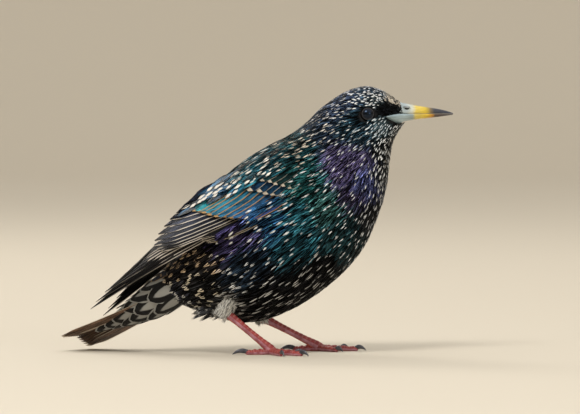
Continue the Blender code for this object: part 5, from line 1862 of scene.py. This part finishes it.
@dataclass
class Bill:
    """The two halves of the bill, closed on their meeting line, with a slit for each nostril."""

    maker: Maker
    # From the base to the tip: x, top, meeting line, bottom, half width above and below the line.
    rows: tuple = (
        (60.6, 118.6, 113.6, 113.2, 6.2, 7.8),
        (62.8, 119.4, 114.2, 111.2, 5.5, 7.6),
        (66.8, 120.4, 114.9, 109.8, 4.9, 6.0),
        (70.0, 119.9, 114.9, 111.2, 4.2, 4.5),
        (73.5, 119.2, 114.8, 111.8, 3.5, 3.5),
        (77.5, 118.5, 114.8, 112.4, 2.9, 2.9),
        (84.2, 117.5, 114.8, 113.1, 2.1, 2.1),
        (89.3, 116.5, 114.8, 113.8, 1.35, 1.35),
        (93.2, 115.2, 114.75, 114.4, 0.4, 0.4),
    )
    line: float = 0.16
    ring_count: int = 64
    ring_points: int = 17
    # How far the ridge is drawn in, and how deep, long and high the dent round a nostril is.
    pinch: float = 0.28
    dent: tuple = (0.3, 1.3, 0.6)
    nostril: Place = (71.0, 117.5)
    # A nostril's flap and slit: start and end from its place, as x, out and z, and radii.
    nostril_parts: tuple = (
        ("nostril_flap", (-2.0, 3.95, 0.9), (1.6, 3.25, 0.45), (0.1, 0.5, 0.6, 0.5, 0.1)),
        ("nostril", (-1.5, 3.15, -0.15), (1.3, 2.75, -0.2), (0.1, 0.45, 0.5, 0.4, 0.1)),
    )

    def half(self, upper: bool) -> Object:
        """One half of the bill as a closed loft."""
        angles = np.linspace(0, math.pi, self.ring_points)
        sign = 1 if upper else -1
        deep, long, high = self.dent
        rings = []
        for x, top, line, bottom, *halves in spline_all(self.rows, self.ring_count):
            half = halves[0] if upper else halves[1]
            edge = line + sign * self.line / 2
            depth = sign * max(abs((top if upper else bottom) - edge), 0.2)
            rise = np.sin(angles) ** 0.85
            out = half * np.sign(np.cos(angles)) * np.abs(np.cos(angles)) ** 0.95
            if upper:
                out = out * (1 - self.pinch * np.sin(angles) ** 4)
                height = edge + depth * rise - self.nostril[1]
                away = ((x - self.nostril[0]) / long) ** 2 + (height / high) ** 2
                out = out * (1 - deep * np.exp(-away))
            rings.append(np.stack((np.full(self.ring_points, x), out, edge + depth * rise), -1))
        return self.maker.tube("bill_upper_horn" if upper else "bill_lower_horn", np.array(rings))

    def make(self, flap_finish: Material, slit_finish: Material) -> None:
        """Makes both halves, and the nostrils, each a near-black slit as painted shade in its opening, with
        the flaps over them.
        """
        base_x = float(self.maker.plot.to_row(np.array((62.8, 0, 0)))[0])
        for upper, stops in ((True, HORN_UPPER), (False, HORN_LOWER)):
            label = "upper" if upper else "lower"
            finish = BillFinish(f"bill_{label}_horn", base_x, stops).make()
            self.maker.piece(self.half(upper), finish, Slot.BILL, (f"bill_{label}",))
        at_x, at_z = self.nostril
        for side in Side:
            for (name, *ends, radii), finish in zip(self.nostril_parts, (flap_finish, slit_finish)):
                start, end = ((at_x + x, side.value * out, at_z + z) for x, out, z in ends)
                part = self.maker.tube(f"{name}_{side.name.lower()}", limb_rings(start, end, radii, 12))
                self.maker.piece(part, finish, Slot.BILL)


@dataclass
class Eye:
    """An eyeball with its lids' bare rim."""

    maker: Maker
    side: Side
    radius: float = 3.5
    outward: tuple = (0.111, 0.981, 0.157)
    rim_radius: float = 2.72
    rim_thickness: float = 0.26
    rim_out: float = 2.3

    def make(self, rim_finish: Material) -> Array:
        """Makes the eye and its rim, and returns the eye's place in the bird's frame."""
        label = self.side.name.lower()
        low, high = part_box(f"eye_{label}")
        centre = (low + high) / 2
        outward = Vector((self.outward[0], self.side.value * self.outward[1], self.outward[2])).normalized()
        turn = outward.to_track_quat("Z", "Y").to_euler()
        bpy.ops.mesh.primitive_uv_sphere_add(
            segments=48, ring_count=32, radius=self.radius * MM, location=centre, rotation=turn
        )
        eye = self.settle(f"eyeball_{label}")
        self.maker.piece(eye, EyeFinish(centre, outward).make(), Slot.EYE, (f"eye_{label}",))
        bpy.ops.mesh.primitive_torus_add(
            major_segments=64,
            minor_segments=14,
            major_radius=self.rim_radius * MM,
            minor_radius=self.rim_thickness * MM,
            location=centre + outward * (self.rim_out * MM),
            rotation=turn,
        )
        self.maker.piece(self.settle(f"eyelid_{label}"), rim_finish, Slot.EYE)
        return self.maker.plot.from_row(centre + outward * (self.rim_out * MM))

    @staticmethod
    def settle(name: str) -> Object:
        """Names the newest primitive, applies its place and smooths it."""
        obj = bpy.context.object
        obj.name = name
        bpy.ops.object.transform_apply(location=True, rotation=True, scale=True)
        obj.data.shade_smooth()
        return obj


# Legs


@dataclass(frozen=True)
class LegPlan:
    """A leg's places, as x, out from the mid-plane and z, and its toes' compass."""

    side: Side
    ankle: tuple
    hub: tuple
    toes: dict


LEG_PLANS = (
    LegPlan(
        Side.RIGHT, (-16.7, 13.5, 21.1), (5.9, 15.0),
        {"hind": 174.0, "inner": 12.0, "middle": 40.0, "outer": 70.0},
    ),
    LegPlan(
        Side.LEFT, (2.0, 13.0, 16.2), (28.4, 15.0),
        {"hind": 176.0, "inner": -44.0, "middle": 1.0, "outer": 33.0},
    ),
)


@dataclass
class Leg:
    """The bare leg: shank, toes and claws, with scutes down the front and over the toes."""

    maker: Maker
    plan: LegPlan
    pad_height: float = 2.5
    # Share of the way down, half width and half depth.
    shank: tuple = (
        (-0.04, 1.7, 2.1),
        (0.0, 2.0, 2.5),
        (0.12, 1.55, 2.05),
        (0.3, 1.35, 1.75),
        (0.55, 1.3, 1.65),
        (0.78, 1.45, 1.8),
        (0.9, 1.8, 2.1),
        (1.0, 2.2, 2.3),
        (1.07, 2.0, 1.9),
        (1.1, 1.2, 1.1),
    )
    # Each toe's length and its claw's.
    lengths: tuple = (
        ("hind", 11.5, 7.0), ("inner", 12.5, 4.2), ("middle", 18.5, 4.8), ("outer", 14.0, 4.2),
    )
    # Share of the toe's length and half width, with a pad at each joint.
    toe: tuple = (
        (-0.02, 1.75), (0.2, 1.65), (0.34, 1.35), (0.44, 1.55), (0.56, 1.25), (0.68, 1.45),
        (0.8, 1.15), (0.92, 1.25), (1.0, 0.95), (1.05, 0.5),
    )
    # Share of the claw's length, rise, half width and half depth.
    claw: tuple = (
        (0.0, 0.3, 0.8, 1.2), (0.28, 1.0, 0.72, 1.15), (0.58, 0.9, 0.58, 0.9),
        (0.83, 0.1, 0.36, 0.55), (0.97, -0.7, 0.08, 0.12),
    )

    def limb(
        self, spine: Array, half: Array, scutes: float, height: float, sides: int = 20
    ) -> tuple[Array, Array]:
        """Rings round a limb, with scutes raised on its front or top.

        Args:
            spine: the limb's middle points.
            half: half width and half depth at each point.
            scutes: the length of a scute.
            height: how far a scute stands out.
            sides: how many points a ring has.

        Returns:
            The rings' points, and for each the scute values: front, back and edge.
        """
        run = run_along(spine)
        steps = np.linspace(0, run[-1], int(run[-1] / (scutes / 6)) + 1)
        path, radii = read_along(run, spine, steps), read_along(run, half, steps)
        way = unit(np.gradient(path, axis=0))
        side = unit(np.cross(way, (0, 0, 1)))
        up = np.cross(side, way)
        angles = round_angles(sides)
        front = smooth_step(-0.1, 0.6, np.sin(angles))[None]
        back = smooth_step(0.55, 0.95, -np.sin(angles))[None]
        phase = (steps / scutes)[:, None] % 1
        saw = np.minimum(phase / 0.85, (1 - phase) / 0.15)
        raised = 1 + height * front * (saw - 0.4) / np.maximum(radii[:, :1], 0.5)
        ring = side[:, None] * (radii[:, :1] * raised * np.cos(angles))[..., None]
        ring = ring + up[:, None] * (radii[:, 1:] * raised * np.sin(angles))[..., None]
        edge = np.clip(1 - saw * 2.2, 0, 1) * front
        value = np.stack(np.broadcast_arrays(front, back, edge), -1)
        return path[:, None] + ring, value

    def make(self, finish: Material, claw_finish: Material) -> None:
        """Makes the shank, the toes and the claws."""
        sign = self.plan.side.value
        label = self.plan.side.name.lower()
        ankle = np.array((self.plan.ankle[0], sign * self.plan.ankle[1], self.plan.ankle[2]))
        hub = np.array((self.plan.hub[0], sign * self.plan.hub[1], 0.0))
        foot = hub + (0, 0, self.pad_height)
        table = np.array(self.shank)
        fine = np.linspace(table[0, 0], table[-1, 0], 30)
        spine = ankle + (foot - ankle) * fine[:, None]
        half = read_along(table[:, 0], table[:, 1:], fine)
        self.skin(f"shank_{label}_skin", *self.limb(spine, half, 2.2, 0.10), finish, (f"shank_{label}",))
        for name, length, claw_length in self.lengths:
            angle = math.radians(self.plan.toes[name])
            ahead = np.array((math.cos(angle), sign * math.sin(angle), 0.0))
            share, width = spline_all(self.toe, 36).T
            spine = hub + ahead * (length * share)[:, None] + np.outer(width * 0.86, (0, 0, 1))
            rings = self.limb(spine, np.stack((width, width * 1.02), -1), 1.2, 0.16, 16)
            self.skin(f"toe_{name}_{label}_skin", *rings, finish, (f"toe_{name}_{label}",))
            base = hub + ahead * (length - 0.5)
            self.make_claw(f"claw_{name}_{label}", base, ahead, claw_length + 0.8, claw_finish)

    def make_claw(self, name: str, base: Array, ahead: Array, length: float, finish: Material) -> None:
        """One curved claw."""
        share, rise, wide, deep = spline_all(self.claw, 24).T
        path = base + ahead * (length * share)[:, None] + np.outer(rise + 0.95, (0, 0, 1))
        side = np.cross(ahead, (0, 0, 1))
        angles = round_angles(14)
        rings = path[:, None] + side * (wide[:, None] * np.cos(angles))[..., None]
        rings = rings + np.array((0, 0, 1.0)) * (deep[:, None] * np.sin(angles))[..., None]
        rings[..., 2] = np.maximum(rings[..., 2], 0.0)
        self.maker.piece(self.maker.tube(f"{name}_horn", rings), finish, Slot.CLAW, (name,))

    def skin(self, name: str, rings: Array, values: Array, finish: Material, nodes: tuple) -> None:
        """A limb's closed skin with its scute values."""
        rings = rings.copy()
        rings[..., 2] = np.maximum(rings[..., 2], 0.0)
        obj = self.maker.tube(name, rings)
        self.maker.attribute(obj, "scute", values.reshape(-1, 3))
        self.maker.piece(obj, finish, Slot.LEG, nodes)


# The stage


@dataclass(frozen=True)
class Stage:
    """A round pale floor that curves up into a wall, soft lights and the camera."""

    plot: Plot
    distance: float = 2.5
    elevation: float = 1.8
    view_width: float = 0.2784
    aim: Place = (15.0, 70.1)
    sensor: float = 36.0
    clip_end: float = 20.0
    floor_colour: Colour = (0.62, 0.56, 0.46)
    floor_radius: float = 4.8
    curve: float = 1.5
    curve_steps: int = 13
    wall: float = 2.6
    segments: int = 96
    # Each soft light's name, place, size, power and colour, and the height that all face.
    lights: tuple = (
        ("key", (-0.6, -1.1, 1.7), 0.6, 20.0, (1.0, 0.98, 0.94)),
        ("front", (1.3, -1.5, 0.7), 0.8, 5.0, (0.92, 0.96, 1.0)),
        ("rim", (-0.7, 1.2, 1.2), 0.6, 7.0, (1.0, 0.96, 0.90)),
        ("room", (0.0, 0.0, 3.4), 10.0, 236.0, (1.0, 0.98, 0.95)),
    )
    light_aim: float = 0.07
    room_colour: Colour = (0.92, 0.90, 0.85)
    room_strength: float = 0.25

    def make(self) -> None:
        """Makes floor, lights, world and camera."""
        self.make_floor()
        for light in self.lights:
            self.light(*light)
        world = bpy.data.worlds.new("soft_room")
        world.use_nodes = True
        background = world.node_tree.nodes["Background"]
        background.inputs[0].default_value = (*self.room_colour, 1)
        background.inputs[1].default_value = self.room_strength
        bpy.context.scene.world = world
        bpy.context.scene.view_settings.view_transform = "Standard"
        self.make_camera()

    def make_floor(self) -> None:
        """The floor and wall in one sweep, a profile that is spun round the middle."""
        flat = self.floor_radius - self.curve
        turns = np.linspace(0, math.pi / 2, self.curve_steps + 1)[1:]
        bend = [(flat + self.curve * math.sin(t), self.curve * (1 - math.cos(t))) for t in turns]
        profile = [(0.0, 0.0), (flat, 0.0), *bend, (self.floor_radius, self.wall)]
        rows, columns = len(profile) - 1, self.segments
        bpy.ops.mesh.primitive_grid_add(x_subdivisions=columns, y_subdivisions=rows, size=2)
        floor = bpy.context.object
        floor.name = "floor"
        grid = read_points(floor.data)
        column = np.rint((grid[:, 0] + 1) / 2 * columns).astype(int) % columns
        row = np.rint((grid[:, 1] + 1) / 2 * rows).astype(int)
        reach, height = np.array(profile)[row].T
        turned = round_angles(columns)[column]
        write_points(floor.data, np.stack((reach * np.cos(turned), reach * np.sin(turned), height), -1))
        bpy.ops.object.mode_set(mode="EDIT")
        bpy.ops.mesh.select_all(action="SELECT")
        bpy.ops.mesh.remove_doubles(threshold=0.0001)
        bpy.ops.mesh.normals_make_consistent(inside=True)
        bpy.ops.object.mode_set(mode="OBJECT")
        floor.data.shade_smooth()
        floor.data.materials.append(Sheet("pale_floor").finish(self.floor_colour, 0.9))

    def light(self, name: str, place: tuple, size: float, power: float, colour: Colour) -> None:
        """A soft square light that faces the bird."""
        data = bpy.data.lights.new(name, "AREA")
        data.size = size
        data.energy = power
        data.color = colour
        lamp = bpy.data.objects.new(name, data)
        lamp.location = place
        aim = Vector((0, 0, self.light_aim)) - Vector(place)
        lamp.rotation_euler = aim.to_track_quat("-Z", "Y").to_euler()
        bpy.context.scene.collection.objects.link(lamp)

    def make_camera(self) -> None:
        """The camera, at the photograph's angle and framing."""
        data = bpy.data.cameras.new("camera")
        data.sensor_width = self.sensor
        data.lens = self.sensor * self.distance / self.view_width
        data.clip_end = self.clip_end
        target = Vector(self.plot.to_row(np.array((self.aim[0], 0.0, self.aim[1]))))
        rise = math.radians(self.elevation)
        camera = bpy.data.objects.new("camera", data)
        camera.location = target + Vector((0, -math.cos(rise), math.sin(rise))) * self.distance
        camera.rotation_euler = (target - camera.location).to_track_quat("-Z", "Y").to_euler()
        bpy.context.scene.collection.objects.link(camera)
        bpy.context.scene.camera = camera


def main() -> None:
    """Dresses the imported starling."""
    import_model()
    plot = Plot()
    maker = Maker(plot)
    Stage(plot).make()
    body, wing_shape, tail_shape = BodyShape(), WingShape(), TailShape()
    window = WingWindow(wing_shape)
    feather_finish = BodyFeatherFinish().make()
    flight_finish = FlightFeatherFinish().make()
    tail_finish = FlightFeatherFinish("tail_vanes", 0.5, 0.1, overlap_shadow=0.85).make()
    covert_finish = FlightFeatherFinish("under_tail_feathers", 0.6, 0.1, 0.62, 0.82, 1.0).make()
    soft_finish = BodyFeatherFinish("soft_feathers", 0.6, 1.2, 0.7, 0.8, 0.0).make()
    base_finish = SkinFinish().make()
    rim_finish = PlainFinish("lid_skin", (0.006, 0.006, 0.008), (0.018, 0.019, 0.022), 0.6, 1800.0).make()
    flap_finish = PlainFinish("nostril_skin", (0.20, 0.23, 0.25), (0.42, 0.46, 0.48), 0.5, 900.0).make()
    leg_finish = LegFinish().make()
    slate, pale_slate = (0.02, 0.022, 0.032), (0.07, 0.07, 0.09)
    claw_finish = PlainFinish("claw_horn", slate, pale_slate, 0.28, 700.0, 0.00004, 0.3).make()
    Bill(maker).make(flap_finish, base_finish)
    eyes = np.array([Eye(maker, side).make(rim_finish) for side in Side])
    skin = Skin(body, maker)
    skin.make(base_finish)
    LegPlumage(maker, skin).make(soft_finish)
    BodyCoat(body, window, maker, eyes).make(feather_finish)
    for side in Side:
        Wing(wing_shape, window, maker, side).make(flight_finish, feather_finish, base_finish)
    Tail(tail_shape, maker).make(tail_finish, covert_finish, base_finish)
    for plan in LEG_PLANS:
        Leg(maker, plan).make(leg_finish, claw_finish)


if __name__ == "__main__":
    main()
